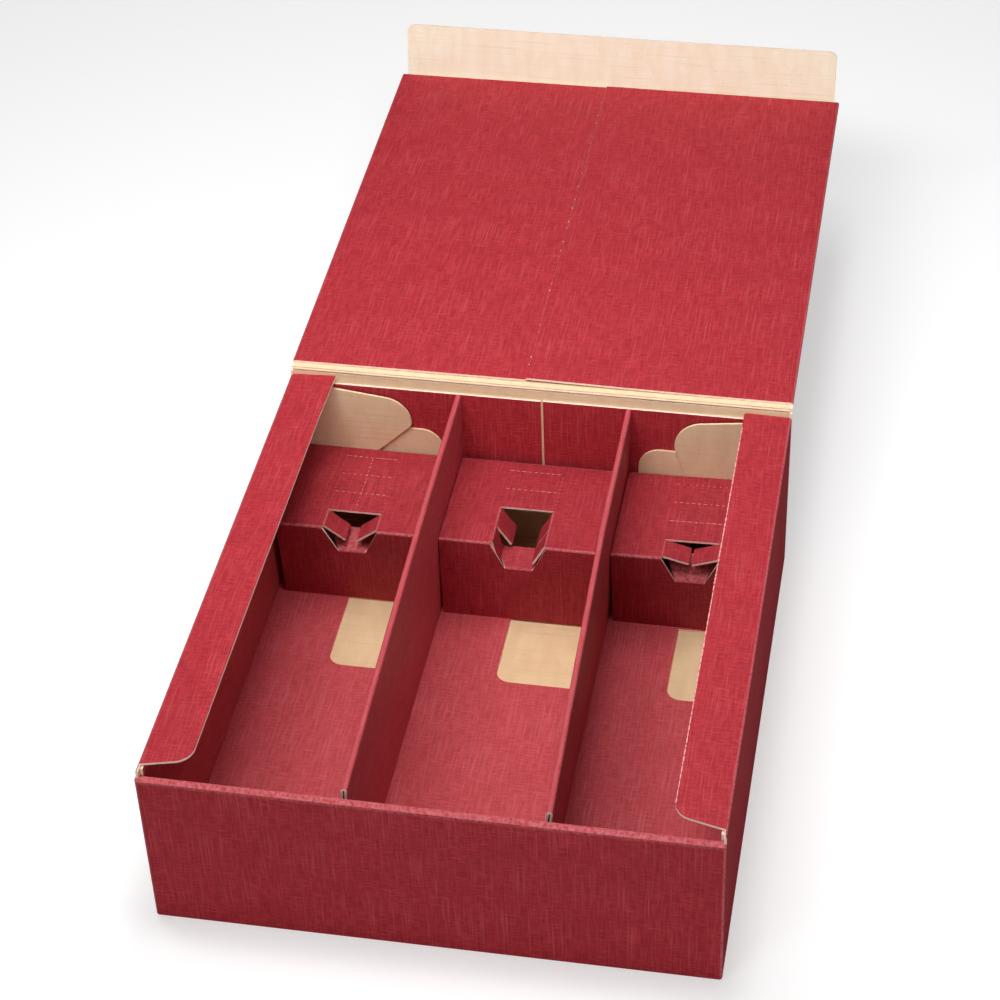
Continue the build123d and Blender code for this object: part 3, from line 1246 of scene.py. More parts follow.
    def build_high_ear(self, side: Side) -> None:
        """Build the high ear that is folded across a back corner.

        Args:
            side: Side of the ear.
        """
        sign = side.value
        foot, face_y = self.ear_foot, self.high_ear_face - self.card.board
        root = self.wall_touch
        top = self.side_height - self.card.board - side.pick(self.ear_drops)
        ear_width, slant = side.pick(self.ear_widths), side.pick(self.ear_slants)
        tip = self.half_width - ear_width
        tip_height = top - self.ear_top_slope
        side_foot = tip_height - self.ear_corner_radius - self.ear_side_length
        drop = min((ear_width - self.ear_root) / slant, side_foot - foot - self.ear_rest)
        neck = tip + drop * slant
        sheet = FoldedSheet(f"high_ear_{side.name.lower()}", self.card)
        points = [
            (root, foot),
            (neck, foot),
            (neck, side_foot - drop),
            (tip, side_foot),
            (tip, tip_height),
            (root, top),
        ]
        sheet.outline([Vector((sign * x, face_y, z)) for x, z in points], Y)
        sheet.round_corner(Vector((sign * tip, face_y, side_foot)), self.ear_foot_radius, 4)
        sheet.round_corner(
            Vector((sign * tip, face_y, tip_height)), self.ear_corner_radius, 9
        )
        # painted shade: the ear's cut edges take the darker kraft liner instead of the raw edge
        sheet.finish(replace(self.finishes, edge=self.finishes.kraft))


# Lid


@dataclass
class Lid:
    """Lid lying back from its crease, with two wings folded in as its lining."""

    case: Case
    tilt: float = 1.0
    lining_start: float = 5.5
    lining_steps: tuple[float, float] = (1.4, 0.0)  # the left wing ends short
    lining_relief: float = 0.3
    seam: float = -9.0  # place of the seam between the wings
    seam_gap: float = 0.3
    wing_lift: float = 1.5  # the right wing springs up along the seam near the crease
    wing_fade: float = 70.0  # and comes down over this length
    wing_waves: tuple[tuple[float, float, float], ...] = ((0.22, 75.0, 1.0), (0.35, 60.0, 0.0))
    wing_cuts: tuple[int, ...] = (-140, -100, -60, -30, -14, -6, 10, 30, 60, 100, 140)
    cross_cuts: Iterable[float] = range(20, 380, 12)
    nick_offset: float = 0.6  # the nicks lie beside the seam
    nick_ends: tuple[float, float] = (22.0, 12.0)
    nick_lengths: tuple[float, float] = (0.9, 1.5)
    nick_slimness: float = 0.8
    nick_steps: tuple[float, ...] = (8.0, 11.0, 17.0, 28.0, 40.0)

    @property
    def length(self) -> float:
        """Distance from the crease to the tuck flap's crease."""
        case = self.case
        return case.crease_y - (case.front_inner + case.card.fit_gap + case.card.board / 2)

    @property
    def wing_level(self) -> float:
        """Height between the panel and the wings, in the lid's own frame."""
        return (self.case.card.board + self.case.card.ply_gap) / 2

    @property
    def place(self) -> Matrix:
        """Move from the lid's own frame, with its crease along X, to the box's frame."""
        origin = Vector((0, self.case.crease_y, self.case.crease_height))
        return Matrix.Translation(origin) @ Matrix.Rotation(math.radians(self.tilt), 4, "X")

    def build(self) -> None:
        """Build the lid's sheet, its crease and the torn nicks along its seam."""
        self.build_sheet()
        half, finishes = self.case.side_inner, self.case.finishes
        build_bead("lid_crease", half, self.place, CardBody.LID, finishes)
        self.build_nicks()

    def build_sheet(self) -> None:
        """Build the panel with both lining wings, as one folded sheet."""
        card = self.case.card
        start = card.board / 2 + card.crease_gap
        stop = self.length - card.board / 2 - card.crease_gap
        half = self.case.side_inner
        left, right = self.seam - self.seam_gap / 2, self.seam + self.seam_gap / 2
        panel, wing = card.board / 2, card.board / 2 + card.ply_gap
        sheet = FoldedSheet("lid_panel", card)
        section = [(left, wing), (-half, wing), (-half, panel), (half, panel), (half, wing)]
        section.append((right, wing))
        sheet.sweep([Vector((x, start, z)) for x, z in section], Y * (stop - start), Z)
        sheet.fold()

        # wings held back from the crease and from the tuck flap
        level = self.wing_level
        for side in Side:

            def is_wing(face: bmesh.types.BMFace, sign: int = side.value) -> bool:
                """Whether a face belongs to this side's wing."""
                middle = face.calc_center_median()
                return (middle.x - self.seam) * sign > 0 and middle.z > level

            end = stop - self.lining_relief - side.pick(self.lining_steps)
            sheet.cut(Y * self.lining_start, -Y, is_wing)
            sheet.cut(Y * end, Y, is_wing)
        sheet.refine(X, self.wing_cuts, lambda face: face.normal.z > FACING)
        sheet.refine(Y, self.cross_cuts)
        sheet.bow(self.wing_bow)
        sheet.finish(self.case.finishes, CardBody.LID, stand_for="lid", place=self.place)

    def wing_bow(self, point: Vector) -> Vector:
        """Spring of the wings along the seam.

        Args:
            point: Point on the sheet, in the lid's own frame.

        Returns:
            Its shift.
        """
        if point.z < self.wing_level:
            return Vector()
        inside = max(0.0, 1 - abs(point.x - self.seam) / self.case.side_inner)
        side = Side.RIGHT if point.x > self.seam else Side.LEFT
        height, length, phase = side.pick(self.wing_waves)
        lift = height * inside * (1 + math.sin(point.y / length + phase))
        if side is Side.RIGHT:
            lift += self.wing_lift * inside**2 * math.exp(-point.y / self.wing_fade)
        return Z * lift

    def build_nicks(self) -> None:
        """Build the torn nicks of the tear line beside the seam."""
        rng = random.Random(4)
        card = self.case.card
        marks = DashMarks("seam_nicks", self.case.finishes.nick)
        place, back_end = self.nick_ends
        while place < self.length - back_end:
            at = Vector((self.seam - self.nick_offset, place, 2 * card.board))
            at.z = 1.5 * card.board + card.ply_gap + self.wing_bow(at).z
            size = rng.uniform(*self.nick_lengths)
            marks.add(at, size, size * self.nick_slimness, Y)
            place += rng.choice(self.nick_steps)
        marks.finish(CardBody.LID, place=self.place)


def build_bead(
    name: str, half_length: float, place: Matrix, body: CardBody, finishes: Finishes
) -> None:
    """Build the rolled crease between two panels, kraft above and print below.

    Args:
        name: Name of the piece.
        half_length: Half its length.
        place: Move from the crease's own frame to the box's frame.
        body: Body that it moves with.
        finishes: Materials of the card.
    """
    upper_slant = 0.6  # the kraft liner shows above this slant of the crease
    sharp_angle = 40.0
    bead = bmesh.new()
    made = bmesh.ops.create_circle(
        bead, cap_ends=True, radius=Card.board / 2, segments=16, calc_uvs=False
    )
    bmesh.ops.rotate(bead, verts=made["verts"], matrix=Matrix.Rotation(math.pi / 2, 3, "Y"))
    bmesh.ops.translate(bead, verts=made["verts"], vec=-X * half_length)
    swept = bmesh.ops.extrude_face_region(bead, geom=bead.faces[:])
    moved = [item for item in swept["geom"] if isinstance(item, bmesh.types.BMVert)]
    bmesh.ops.translate(bead, verts=moved, vec=X * 2 * half_length)
    bmesh.ops.recalc_face_normals(bead, faces=bead.faces[:])
    layer = bead.loops.layers.uv.new(SHEET_MAP)
    for face in bead.faces:
        face.smooth = abs(face.normal.x) < FACING
        face.material_index = 1 if face.normal.z > upper_slant * face.normal.y else 0
        for loop in face.loops:
            loop[layer].uv = (loop.vert.co.x * METRES, loop.vert.co.y * METRES)
    bmesh.ops.transform(bead, matrix=place, verts=bead.verts[:])
    bmesh.ops.scale(bead, vec=(METRES,) * 3, verts=bead.verts[:])
    data = bpy.data.meshes.new(name)
    bead.to_mesh(data)
    bead.free()
    data.materials.append(finishes.prints[CardSlot.CASE])
    data.materials.append(finishes.kraft)
    data.set_sharp_from_angle(angle=math.radians(sharp_angle))
    fix_piece(add_object(name, data), body)


class DashMarks:
    """Small torn or nicked spots of a perforated line, as thin flat dashes on a sheet."""

    height: float = 0.08
    sink: float = 0.05

    def __init__(self, name: str, material: bpy.types.Material) -> None:
        """Start an empty set of dashes.

        Args:
            name: Name of the finished piece.
            material: Finish of the dashes.
        """
        self.name = name
        self.material = material
        self.mesh = bmesh.new()

    def add(self, at: Vector, length: float, width: float, along: Vector) -> None:
        """Add one dash on a level surface.

        Args:
            at: Middle of the dash on the surface.
            length: Length of the dash.
            width: Width of the dash.
            along: Direction of the dash, X or Y.
        """
        made = bmesh.ops.create_circle(self.mesh, cap_ends=True, radius=0.5, segments=8)
        corners = made["verts"]
        size = (length, width, 1.0) if along is X else (width, length, 1.0)
        bmesh.ops.scale(self.mesh, vec=size, verts=corners)
        bmesh.ops.translate(self.mesh, verts=corners, vec=at - Z * self.sink)
        face = corners[0].link_faces[0]
        swept = bmesh.ops.extrude_face_region(self.mesh, geom=[face])
        moved = [item for item in swept["geom"] if isinstance(item, bmesh.types.BMVert)]
        bmesh.ops.translate(self.mesh, verts=moved, vec=Z * (self.height + self.sink))

    def finish(
        self,
        body: CardBody = CardBody.CASE,
        slot: CardSlot = CardSlot.CASE,
        place: Matrix | None = None,
    ) -> None:
        """Turn the dashes into one piece.

        Args:
            body: Body that they move with.
            slot: Not used.
            place: Move from the sheet's own frame to the box's frame.
        """
        bmesh.ops.recalc_face_normals(self.mesh, faces=self.mesh.faces[:])
        if place is not None:
            bmesh.ops.transform(self.mesh, matrix=place, verts=self.mesh.verts[:])
        bmesh.ops.scale(self.mesh, vec=(METRES,) * 3, verts=self.mesh.verts[:])
        data = bpy.data.meshes.new(self.name)
        self.mesh.to_mesh(data)
        self.mesh.free()
        data.materials.append(self.material)
        fix_piece(add_object(self.name, data), body)


# Tuck flap


@dataclass
class TuckFlap:
    """Flap at the lid's far edge, which tucks in behind the front wall."""

    lid: Lid
    length: float = 42.0
    inset: float = 4.0
    corner_radius: float = 6.0
    open_angle: float = 80.0
    root: float = 0.2  # the panel starts this far from its crease
    curl: float = 0.5  # height of the curl of its free edge
    curl_length: float = 80.0
    curl_phase: float = 0.6
    cuts: Iterable[float] = range(-150, 160, 20)
    cross_cuts: Iterable[float] = range(8, 40, 8)

    @property
    def place(self) -> Matrix:
        """Move from the flap's own frame, with its crease along X, to the box's frame."""
        hinge = self.lid.place @ Vector((0, self.lid.length, 0))
        angle = math.radians(self.lid.tilt + self.open_angle)
        return Matrix.Translation(hinge) @ Matrix.Rotation(angle, 4, "X")

    def build(self) -> None:
        """Build the flap and its crease, with the kraft liner towards the front."""
        case = self.lid.case
        half = case.half_width - self.inset
        sheet = FoldedSheet("tuck_panel", case.card)
        level = case.card.board / 2
        points = [(-half, self.root), (half, self.root), (half, self.length), (-half, self.length)]
        sheet.outline([Vector((x, y, level)) for x, y in points], -Z)
        for side in Side:
            corner = Vector((side.value * half, self.length, level))
            sheet.round_corner(corner, self.corner_radius, 8)
        sheet.refine(X, self.cuts)
        sheet.refine(Y, self.cross_cuts)
        sheet.bow(self.curl_edge)
        build_bead("tuck_crease", half, self.place, CardBody.TUCK_FLAP, case.finishes)
        # painted light: the tuck flap takes the paler copy of the kraft
        lit_paler_finishes = replace(case.finishes, kraft=case.finishes.lit_flap_kraft)
        sheet.finish(lit_paler_finishes, CardBody.TUCK_FLAP, stand_for="tuck_flap", place=self.place)

    def curl_edge(self, point: Vector) -> Vector:
        """Slight curl of the flap's free edge.

        Args:
            point: Point on the sheet, in the flap's own frame.

        Returns:
            Its shift.
        """
        share = (point.y / self.length) ** 2
        return Z * (self.curl * share * math.sin(point.x / self.curl_length + self.curl_phase))


# Insert


@dataclass
class Insert:
    """Folded tray inside the case: side panels, floor and two dividers."""

    case: Case
    divider_height: float = 121.5
    divider_slot: float = 2.0
    ridge_slot: float = 0.8
    divider_leans: tuple[float, float] = (2.5, 5.0)
    front_leans: tuple[float, float] = (4.3, 7.4)  # further lean, growing towards the front
    front_room: float = 5.6
    front_sags: tuple[float, float] = (2.0, 2.0)  # the ridges sink towards the front
    front_radius: float = 3.0
    side_drop: float = 0.6
    window_length: float = 59.0
    window_past_middle: float = 6.0
    window_radius: float = 9.5
    window_margin: float = 2.5
    window_tuck: float = 8.0
    ridge_radius: float = 0.9
    wall_zone: float = 40.0  # the dividers keep this far from the side panels
    corner_angles: tuple[float, ...] = (22.5, 45.0, 67.5)
    lean_cuts: int = 8

    @property
    def side(self) -> float:
        """Outer face of a side panel."""
        return self.case.side_inner - self.case.card.fit_gap

    @property
    def middles(self) -> tuple[float, float]:
        """Middle of each divider at its foot."""
        return (-self.case.width / 6, self.case.width / 6)

    @property
    def compartments(self) -> list[tuple[float, float]]:
        """Clear span of each compartment at the floor.

        Returns:
            Left and right end of each span, from the left.
        """
        half = self.divider_slot / 2 + self.case.card.board
        left, right = self.middles
        edge = self.side - self.case.card.board
        return [(-edge, left - half), (left + half, right - half), (right + half, edge)]

    @property
    def above_folds(self) -> float:
        """Height over which no fold of the floor reaches."""
        return 2.3 * self.case.card.board

    def build(self, cradle_front: float) -> None:
        """Build the insert as one folded sheet.

        Args:
            cradle_front: Front face of the neck cradles, where the windows end.
        """
        case, board = self.case, self.case.card.board
        front = case.front_inner + case.card.fit_gap
        back = case.lining_front - case.card.ply_gap
        slot, pinch = self.divider_slot / 2, self.ridge_slot / 2
        side_top = case.side_height - board - self.side_drop
        top = self.divider_height - board
        section = [(-self.side, side_top), (-self.side, board)]
        for middle, lean in zip(self.middles, self.divider_leans):
            section += [
                (middle - slot, board),
                (middle - pinch + lean, top),
                (middle + pinch + lean, top),
                (middle + slot, board),
            ]
        section += [(self.side, board), (self.side, side_top)]
        sheet = FoldedSheet("insert_tray", case.card)
        sheet.sweep([Vector((x, front, z)) for x, z in section], Y * (back - front), X)
        for left, right in self.compartments:
            self.cut_window(sheet, left, right, cradle_front)
        sheet.fold(outer_radius=self.ridge_radius)
        self.trim_dividers(sheet, case.front_inner + self.front_room, cradle_front)
        rear = case.high_ear_face - board - case.card.fit_gap
        sheet.cut(
            Y * rear,
            Y,
            lambda face: near(abs(face.calc_center_median().x), self.side)
            and face.calc_center_median().z > self.above_folds,
        )
        sheet.bow(lambda point: X * case.settle(point).x)
        sheet.finish(case.finishes, slot=CardSlot.INSERT, stand_for="insert")

    def cut_window(
        self, sheet: FoldedSheet, left: float, right: float, cradle_front: float
    ) -> None:
        """Cut the window in the floor of one compartment.

        Args:
            sheet: Sheet of the insert.
            left: Left face of the compartment.
            right: Right face of the compartment.
            cradle_front: Front face of the neck cradles.
        """
        board = self.case.card.board
        middle = (left + right) / 2 - self.window_past_middle
        margin = right - self.window_margin
        start = cradle_front - self.window_length
        end = cradle_front + self.window_tuck

        def on_floor(face: bmesh.types.BMFace) -> bool:
            """Whether a face is the floor of this compartment."""
            centre = face.calc_center_median()
            return face.normal.z > FACING and near(centre.z, board) and left < centre.x < right

        def in_front(face: bmesh.types.BMFace) -> bool:
            """Whether a face is the floor in front of the window's end."""
            return on_floor(face) and face.calc_center_median().y < end

        def beside(face: bmesh.types.BMFace) -> bool:
            """Whether a face is the front floor left of the window's margin."""
            return in_front(face) and face.calc_center_median().x < margin

        def right_half(face: bmesh.types.BMFace) -> bool:
            """Whether a face is the front floor between the middle and the margin."""
            return beside(face) and face.calc_center_median().x > middle

        sheet.cut(Y * end, Y, on_floor, clear=False)
        sheet.cut(X * margin, X, in_front, clear=False)
        sheet.cut(X * middle, X, beside, clear=False)
        sheet.cut(Y * start, Y, right_half)
        sheet.merge(beside)
        sheet.round_corner(Vector((middle, start, board)), self.window_radius, 8)

    def trim_dividers(self, sheet: FoldedSheet, front: float, back: float) -> None:
        """Cut the dividers back at the front, round their upper corner and lean them.

        Args:
            sheet: Sheet of the insert.
            front: Front edge of the dividers.
            back: Place from which the dividers lean further towards the front.
        """
        centre = Vector((0, front + self.front_radius, self.divider_height - self.front_radius))
        floor = 2 * self.case.card.board

        def is_divider(face: bmesh.types.BMFace) -> bool:
            """Whether a face belongs to a divider above the floor's folds."""
            middle = face.calc_center_median()
            return abs(middle.x) < self.side - self.wall_zone and middle.z > self.above_folds

        def lean(point: Vector) -> Vector:
            """Shift of a point of a divider by its further lean and its sunk front.

            Args:
                point: Point on the sheet.

            Returns:
                Its shift.
            """
            if abs(point.x) > self.side - self.wall_zone or point.z < floor or point.y > back:
                return Vector()
            share = (point.z - floor) / (self.divider_height - floor)
            along = (back - point.y) / (back - front)
            side = Side.LEFT if point.x < 0 else Side.RIGHT
            reach, sag = side.pick(self.front_leans), side.pick(self.front_sags)
            return Vector((reach * share * along, 0, -sag * share * along**3))

        sheet.cut(Y * front, -Y, is_divider)
        for angle in self.corner_angles:
            turn = math.radians(angle)
            beyond = Vector((0, -math.cos(turn), math.sin(turn)))
            sheet.cut(centre + beyond * self.front_radius, beyond, is_divider)
        step = (back - front) / (self.lean_cuts + 1)
        places = [front + step * cut for cut in range(1, self.lean_cuts + 1)]
        sheet.refine(Y, places, is_divider)
        sheet.bow(lean)


# Neck cradles


@dataclass
class NeckCradle:
    """Folded sleeve at the back of a compartment, with a neck cut-out of tabs.

    The angles of the side tabs run from the front strip to the last opened one. Rows and lines
    give how much of each closed perforated line shows: the rows from the front, and the left,
    middle and right line.
    """

    name: str
    left: float
    right: float
    front: float
    depth: float
    height: float
    finishes: Finishes
    left_angles: tuple[float, ...]
    right_angles: tuple[float, ...]
    front_angle: float
    foot_setback: float
    rows: tuple[float, ...]
    lines: tuple[float, float, float]
    # share of the rubbed colour on the front tab, as a painted sheen
    tab_sheen: float
    lifts: tuple[float, float] = (0.0, 0.0)
    left_trim: float = 0.0
    card: Card = Card()
    notch_top_width: float = 37.0
    notch_bottom_width: float = 19.5
    notch_drop: float = 22.0
    strip_pitch: float = 19.0
    tab_cut: float = 0.5
    tab_root: float = 1.0  # the first side tab starts this far behind the front fold
    tab_depth: float = 0.6  # a point this near to the front tab's plane belongs to it
    setback_reach: float = 40.0
    dash_pitch: float = 4.0
    dash_shares: tuple[float, float] = (0.5, 1.05)
    row_widths: tuple[float, float] = (0.18, 0.36)
    line_widths: tuple[float, float] = (0.15, 0.3)
    row_start: float = 2.0
    line_start: float = 2.5

    @property
    def strips(self) -> int:
        """Number of strips that are opened."""
        return len(self.left_angles)

    @property
    def opened_depth(self) -> float:
        """Depth of the hole in the top panel."""
        return self.strips * self.strip_pitch

    @property
    def middle(self) -> float:
        """Middle of the cradle."""
        return (self.left + self.right) / 2

    @property
    def floor(self) -> float:
        """Upper face of the insert's floor."""
        return 2 * self.card.board

    @property
    def top_face(self) -> float:
        """Kraft face of the top panel."""
        return self.floor + self.height - self.card.board

    @property
    def notch_floor(self) -> float:
        """Lower edge of the notch."""
        return self.floor + self.height - self.notch_drop

    def build(self) -> None:
        """Build the cradle as one folded sheet, with its perforated lines."""
        board = self.card.board
        front_face = self.front + board
        back_face = self.front + self.depth - board
        sheet = FoldedSheet(f"{self.name}_sleeve", self.card)
        section = [
            (front_face + self.card.fit_gap, self.floor + board),
            (back_face, self.floor + board),
            (back_face, self.top_face),
            (front_face, self.top_face),
            (front_face, self.floor),
        ]
        sheet.sweep(
            [Vector((self.left, y, z)) for y, z in section],
            X * (self.right - self.left),
            -Z,
        )
        sheet.cut(X * (self.left + self.left_trim), -X)
        self.cut_notch(sheet, front_face)
        self.grow_tabs(sheet, front_face)
        rest_middle = (self.front + self.opened_depth + back_face) / 2
        sheet.turn_to(Z, Vector((self.middle, rest_middle, self.top_face)))
        sheet.fold()
        # painted sheen on the front tab
        self.paint_tab_sheen(sheet, front_face)
        sheet.bow(self.slant)
        self.build_lines()
        sheet.finish(self.finishes, slot=CardSlot.CRADLE, stand_for=self.name)

    def paint_tab_sheen(self, sheet: FoldedSheet, front_face: float) -> None:
        """Mark the front tab for the rubbed colour, as a painted sheen on its print side.

        Args:
            sheet: Sheet of the cradle.
            front_face: Kraft face of the front panel.
        """
        turn = math.radians(self.front_angle)
        rise = Vector((0, math.sin(turn), math.cos(turn)))
        foot = Vector((self.middle, front_face, self.notch_floor))
        for vertex in sheet.mesh.verts:
            reach = vertex.co - foot
            along = reach.dot(rise)
            aside = (reach - rise * along - X * reach.x).length
            if along > self.card.ply_gap and aside < self.tab_depth:
                vertex[sheet.fold_layer] = self.tab_sheen

    def slant(self, point: Vector) -> Vector:
        """Set the foot of the front panel back and raise the top.

        Args:
            point: Point on the sheet.

        Returns:
            Its shift.
        """
        depth = max(0.0, 1 - (point.y - self.front) / self.setback_reach)
        height = (point.z - self.floor) / (self.height - self.card.board)
        fall = max(0.0, 1 - height)
        across = (point.x - self.left) / (self.right - self.left)
        lift = self.lifts[0] + (self.lifts[1] - self.lifts[0]) * across
        return Vector((0, self.foot_setback * fall * min(depth, 1.0), lift * height))

    def cut_notch(self, sheet: FoldedSheet, front_face: float) -> None:
        """Cut the hole in the top panel and the notch in the front panel.

        Args:
            sheet: Sheet of the cradle.
            front_face: Kraft face of the front panel.
        """
        half, hair = self.notch_top_width / 2, self.card.hair
        end = self.front + self.opened_depth

        def on_top(face: bmesh.types.BMFace) -> bool:
            """Whether a face belongs to the top panel."""
            return near(face.calc_center_median().z, self.top_face)

        def on_front(face: bmesh.types.BMFace) -> bool:
            """Whether a face belongs to the front panel."""
            return near(face.calc_center_median().y, front_face, hair) and not on_top(face)

        # knife lines that the tabs grow from, then the hole itself
        sheet.refine(X, (self.middle - half, self.middle + half), on_top)
        places = [end, front_face + self.tab_root]
        for strip in range(1, self.strips + 1):
            place = self.front + strip * self.strip_pitch
            places += [place - self.tab_cut, place]
        sheet.refine(Y, places[:-1], on_top)
        slope = (self.notch_top_width - self.notch_bottom_width) / 2
        drop = self.top_face - self.notch_floor
        for sign in (-1, 1):
            side = Vector((sign * drop, 0, -slope)).normalized()
            corner = Vector((self.middle + sign * half, front_face, self.top_face))
            sheet.cut(corner, side, on_front, clear=False)
        sheet.cut(Z * self.notch_floor, Z, on_front, clear=False)
        sheet.drop(
            lambda face: on_top(face)
            and abs(face.calc_center_median().x - self.middle) < half
            and face.calc_center_median().y < end
        )
        sheet.drop(
            lambda face: on_front(face)
            and abs(face.calc_center_median().x - self.middle) < self.notch_bottom_width / 2
            and face.calc_center_median().z > self.notch_floor
        )

    def grow_tabs(self, sheet: FoldedSheet, front_face: float) -> None:
        """Grow the side tabs and the front tab from the edges of the cut-out.

        Args:
            sheet: Sheet of the cradle.
            front_face: Kraft face of the front panel.
        """
        half, hair = self.notch_top_width / 2, self.card.hair
        length = half - self.tab_cut / 2
        for sign, angles in ((-1, self.left_angles), (1, self.right_angles)):
            hinge = self.middle + sign * half
            for strip, angle in enumerate(angles):
                turn = math.radians(angle)
                fall = Vector((-sign * math.cos(turn), 0, -math.sin(turn))) * length
                first = max(self.front + strip * self.strip_pitch, front_face + self.tab_root)
                last = self.front + (strip + 1) * self.strip_pitch - self.tab_cut
                ends = (Vector((hinge, place, self.top_face)) for place in (first, last))
                sheet.grow(edge_within(*ends, hair), fall)

        turn = math.radians(self.front_angle)
        height = self.notch_drop - self.card.board - self.tab_cut
        rise = Vector((0, math.sin(turn), math.cos(turn))) * height
        places = (self.middle - half, self.middle + half)
        ends = (Vector((place, front_face, self.notch_floor)) for place in places)
        for vertex in sheet.grow(edge_within(*ends, hair), rise):
            sign = 1 if vertex.co.x > self.middle else -1
            vertex.co.x = self.middle + sign * (half - self.tab_cut)

    def build_lines(self) -> None:
        """Build the perforated lines of the strips that are still closed."""
        marks = DashMarks(f"{self.name}_lines", self.finishes.nick)
        rng = random.Random(len(self.name))
        half, pitch = self.notch_top_width / 2, self.strip_pitch
        corner = Vector((self.middle - half, self.front, self.floor + self.height))
        for row, share in enumerate(self.rows, start=self.strips + 1):
            start = corner + X * self.row_start + Y * (row * pitch)
            run = 2 * half - self.row_start
            self.add_line(marks, rng, start, X, run, share, self.row_widths)
        run = len(self.rows) * pitch - self.line_start
        for column, share in enumerate(self.lines):
            start = corner + X * (column * half) + Y * (self.opened_depth + self.line_start)
            self.add_line(marks, rng, start, Y, run, share, self.line_widths)
        marks.finish(slot=CardSlot.CRADLE)

    def add_line(
        self,
        marks: DashMarks,
        rng: random.Random,
        start: Vector,
        along: Vector,
        run: float,
        share: float,
        widths: tuple[float, float],
    ) -> None:
        """Add the dashes of one perforated line.

        Args:
            marks: Dashes of the cradle.
            rng: Source of their uneven sizes.
            start: Place of the first dash.
            along: Direction of the line, X or Y.
            run: Length of the line.
            share: Share of each dash that shows.
            widths: Least and greatest width of a dash.
        """
        place = 0.0
        while share > 0 and place < run:
            at = start + along * place
            at.z += self.slant(at).z
            length = self.dash_pitch * share * rng.uniform(*self.dash_shares)
            marks.add(at, length, rng.uniform(*widths), along)
            place += self.dash_pitch


@dataclass
class CradleRow:
    """The three neck cradles, each fitted between its dividers."""

    insert: Insert
    depth: float = 86.0
    height: float = 67.5
    fit: float = 0.5

    @property
    def front(self) -> float:
        """Front face of the cradles."""
        case = self.insert.case
        return case.high_ear_face - case.card.board - case.card.fit_gap - self.depth

    def build(self) -> None:
        """Build the three cradles with their opened strips and bent tabs."""
        insert = self.insert
        board = insert.case.card.board
        share = (self.height + board) / (insert.divider_height - 2 * board)
        leans = (0.0, *(lean * share for lean in insert.divider_leans))
        left, middle, right = (
            {
                "left": start + self.fit + lean,
                "right": stop - self.fit,
                "front": self.front,
                "depth": self.depth,
                "height": self.height,
                "finishes": insert.case.finishes,
            }
            for (start, stop), lean in zip(insert.compartments, leans)
        )
        NeckCradle(
            "neck_cradle_left",
            **left,
            left_angles=(41.0,),
            right_angles=(40.0,),
            front_angle=77.0,
            foot_setback=7.5,
            rows=(0.8, 0.6, 1.0),
            lines=(0.15, 0.8, 0.15),
            tab_sheen=0.6,
            left_trim=3.0,
        ).build()
        NeckCradle(
            "neck_cradle_middle",
            **middle,
            left_angles=(78.0, 57.0),
            right_angles=(62.0, 62.0),
            front_angle=88.0,
            foot_setback=1.5,
            rows=(0.9, 1.0),
            lines=(0.0, 0.0, 0.2),
            tab_sheen=0.1,
        ).build()
        NeckCradle(
            "neck_cradle_right",
            **right,
            left_angles=(18.0,),
            right_angles=(21.0,),
            front_angle=46.0,
            foot_setback=10.0,
            rows=(1.0, 0.7, 0.35),
            lines=(0.0, 0.2, 0.0),
            tab_sheen=1.0,
            lifts=(0.7, 3.0),
        ).build()


# Studio


@dataclass(frozen=True)
class SoftLamp:
    """One rectangular soft light."""

    name: str
    position: tuple[float, float, float]
    aim: tuple[float, float, float]
    size: tuple[float, float]
    power: float

    def build(self) -> None:
        """Build the lamp, turned towards the point it is aimed at."""
        data = bpy.data.lights.new(self.name, "AREA")
        data.shape = "RECTANGLE"
        data.size, data.size_y = self.size
        data.energy = self.power
        lamp = add_object(self.name, data)
        lamp.location = self.position
        gaze = Vector(self.aim) - lamp.location
        lamp.rotation_euler = gaze.to_track_quat("-Z", "Y").to_euler()


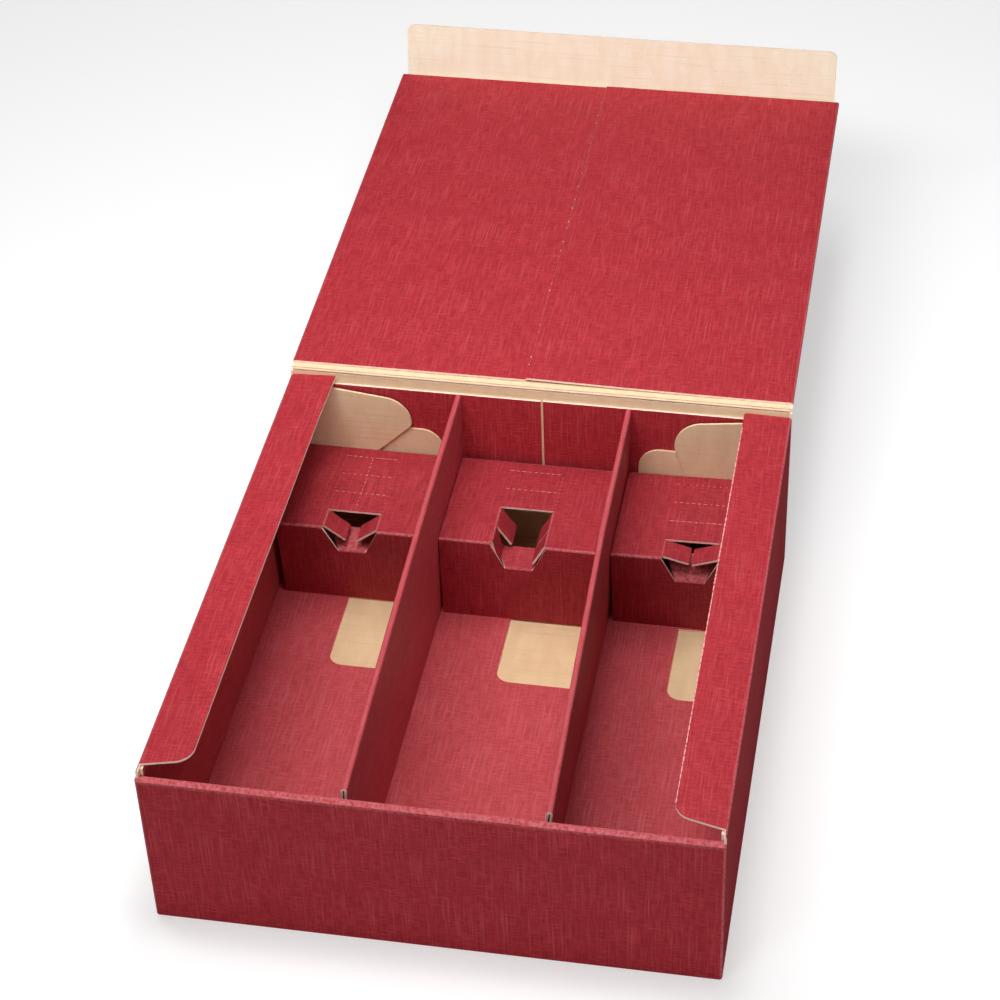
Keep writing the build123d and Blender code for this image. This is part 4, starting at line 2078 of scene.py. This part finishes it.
@dataclass
class Studio:
    """White sweep, soft lights and the camera at the photograph's viewing angle."""

    camera_position: tuple[float, float, float] = (0.25581, -1.17612, 1.2077)
    camera_turn: tuple[float, float, float] = (49.7647, 1.7719, 10.2884)
    focal_length: float = 94.537
    sensor_width: float = 36.0
    floor_size: float = 9.0
    world_strength: float = 0.16
    lamps: tuple[SoftLamp, ...] = (
        SoftLamp("overhead_softbox", (0.04, 0.34, 1.5), (0.02, 0.2, 0.0), (0.25, 0.75), 6.6),
        SoftLamp("front_softbox", (-0.1, -0.1, 0.88), (0.05, 0.56, 0.2), (0.7, 0.2), 6.7),
        SoftLamp("low_front_softbox", (0.3, -1.6, 0.25), (0.05, -0.19, 0.06), (1.0, 0.3), 4.8),
        SoftLamp("left_softbox", (-0.35, -0.9, 1.5), (0.0, 0.1, 0.05), (0.4, 0.4), 3.5),
        SoftLamp("right_fill", (1.4, -0.3, 0.12), (0.17, 0.0, 0.07), (1.0, 0.15), 2.6),
    )

    def build(self) -> None:
        """Build the sweep, the lamps, the world and the camera."""
        self.build_floor()
        for lamp in self.lamps:
            lamp.build()
        world = bpy.data.worlds.new("studio_air")
        bpy.context.scene.world = world
        world.use_nodes = True
        tree = world.node_tree
        tree.nodes.clear()
        ray = add_node(tree, "ShaderNodeLightPath")
        air = add_node(
            tree,
            "ShaderNodeBackground",
            inputs={"Color": linear("FFFFFF"), "Strength": self.world_strength},
        )
        backdrop = add_node(
            tree, "ShaderNodeBackground", inputs={"Color": linear("FFFFFF"), "Strength": 1.0}
        )
        shown = add_node(
            tree,
            "ShaderNodeMixShader",
            inputs={
                0: ray.outputs["Is Camera Ray"],
                1: air.outputs[0],
                2: backdrop.outputs[0],
            },
        )
        add_node(tree, "ShaderNodeOutputWorld", inputs={"Surface": shown.outputs[0]})
        self.build_camera()
        bpy.context.scene.view_settings.view_transform = "Standard"

    def build_floor(self) -> None:
        """Build the floor of background paper."""
        paper = bmesh.new()
        bmesh.ops.create_grid(
            paper, x_segments=2, y_segments=2, size=self.floor_size / 2, calc_uvs=False
        )
        data = bpy.data.meshes.new("studio_floor")
        paper.to_mesh(data)
        paper.free()
        data.materials.append(StudioPaper().build())
        add_object("studio_floor", data)

    def build_camera(self) -> None:
        """Build the camera and make it the scene's own."""
        data = bpy.data.cameras.new("camera")
        data.sensor_fit = "HORIZONTAL"
        data.sensor_width = self.sensor_width
        data.lens = self.focal_length
        camera = add_object("camera", data)
        camera.location = self.camera_position
        camera.rotation_euler = [math.radians(angle) for angle in self.camera_turn]
        bpy.context.scene.camera = camera


def main() -> None:
    """Load the frame, and build the box and its studio in order."""
    logging.basicConfig(level=logging.INFO, format="%(name)s: %(message)s")
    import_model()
    case = Case(Finishes.build())
    lid = Lid(case)
    insert = Insert(case)
    cradles = CradleRow(insert)
    case.build()
    lid.build()
    TuckFlap(lid).build()
    insert.build(cradles.front)
    cradles.build()
    Studio().build()


if __name__ == "__main__":
    main()
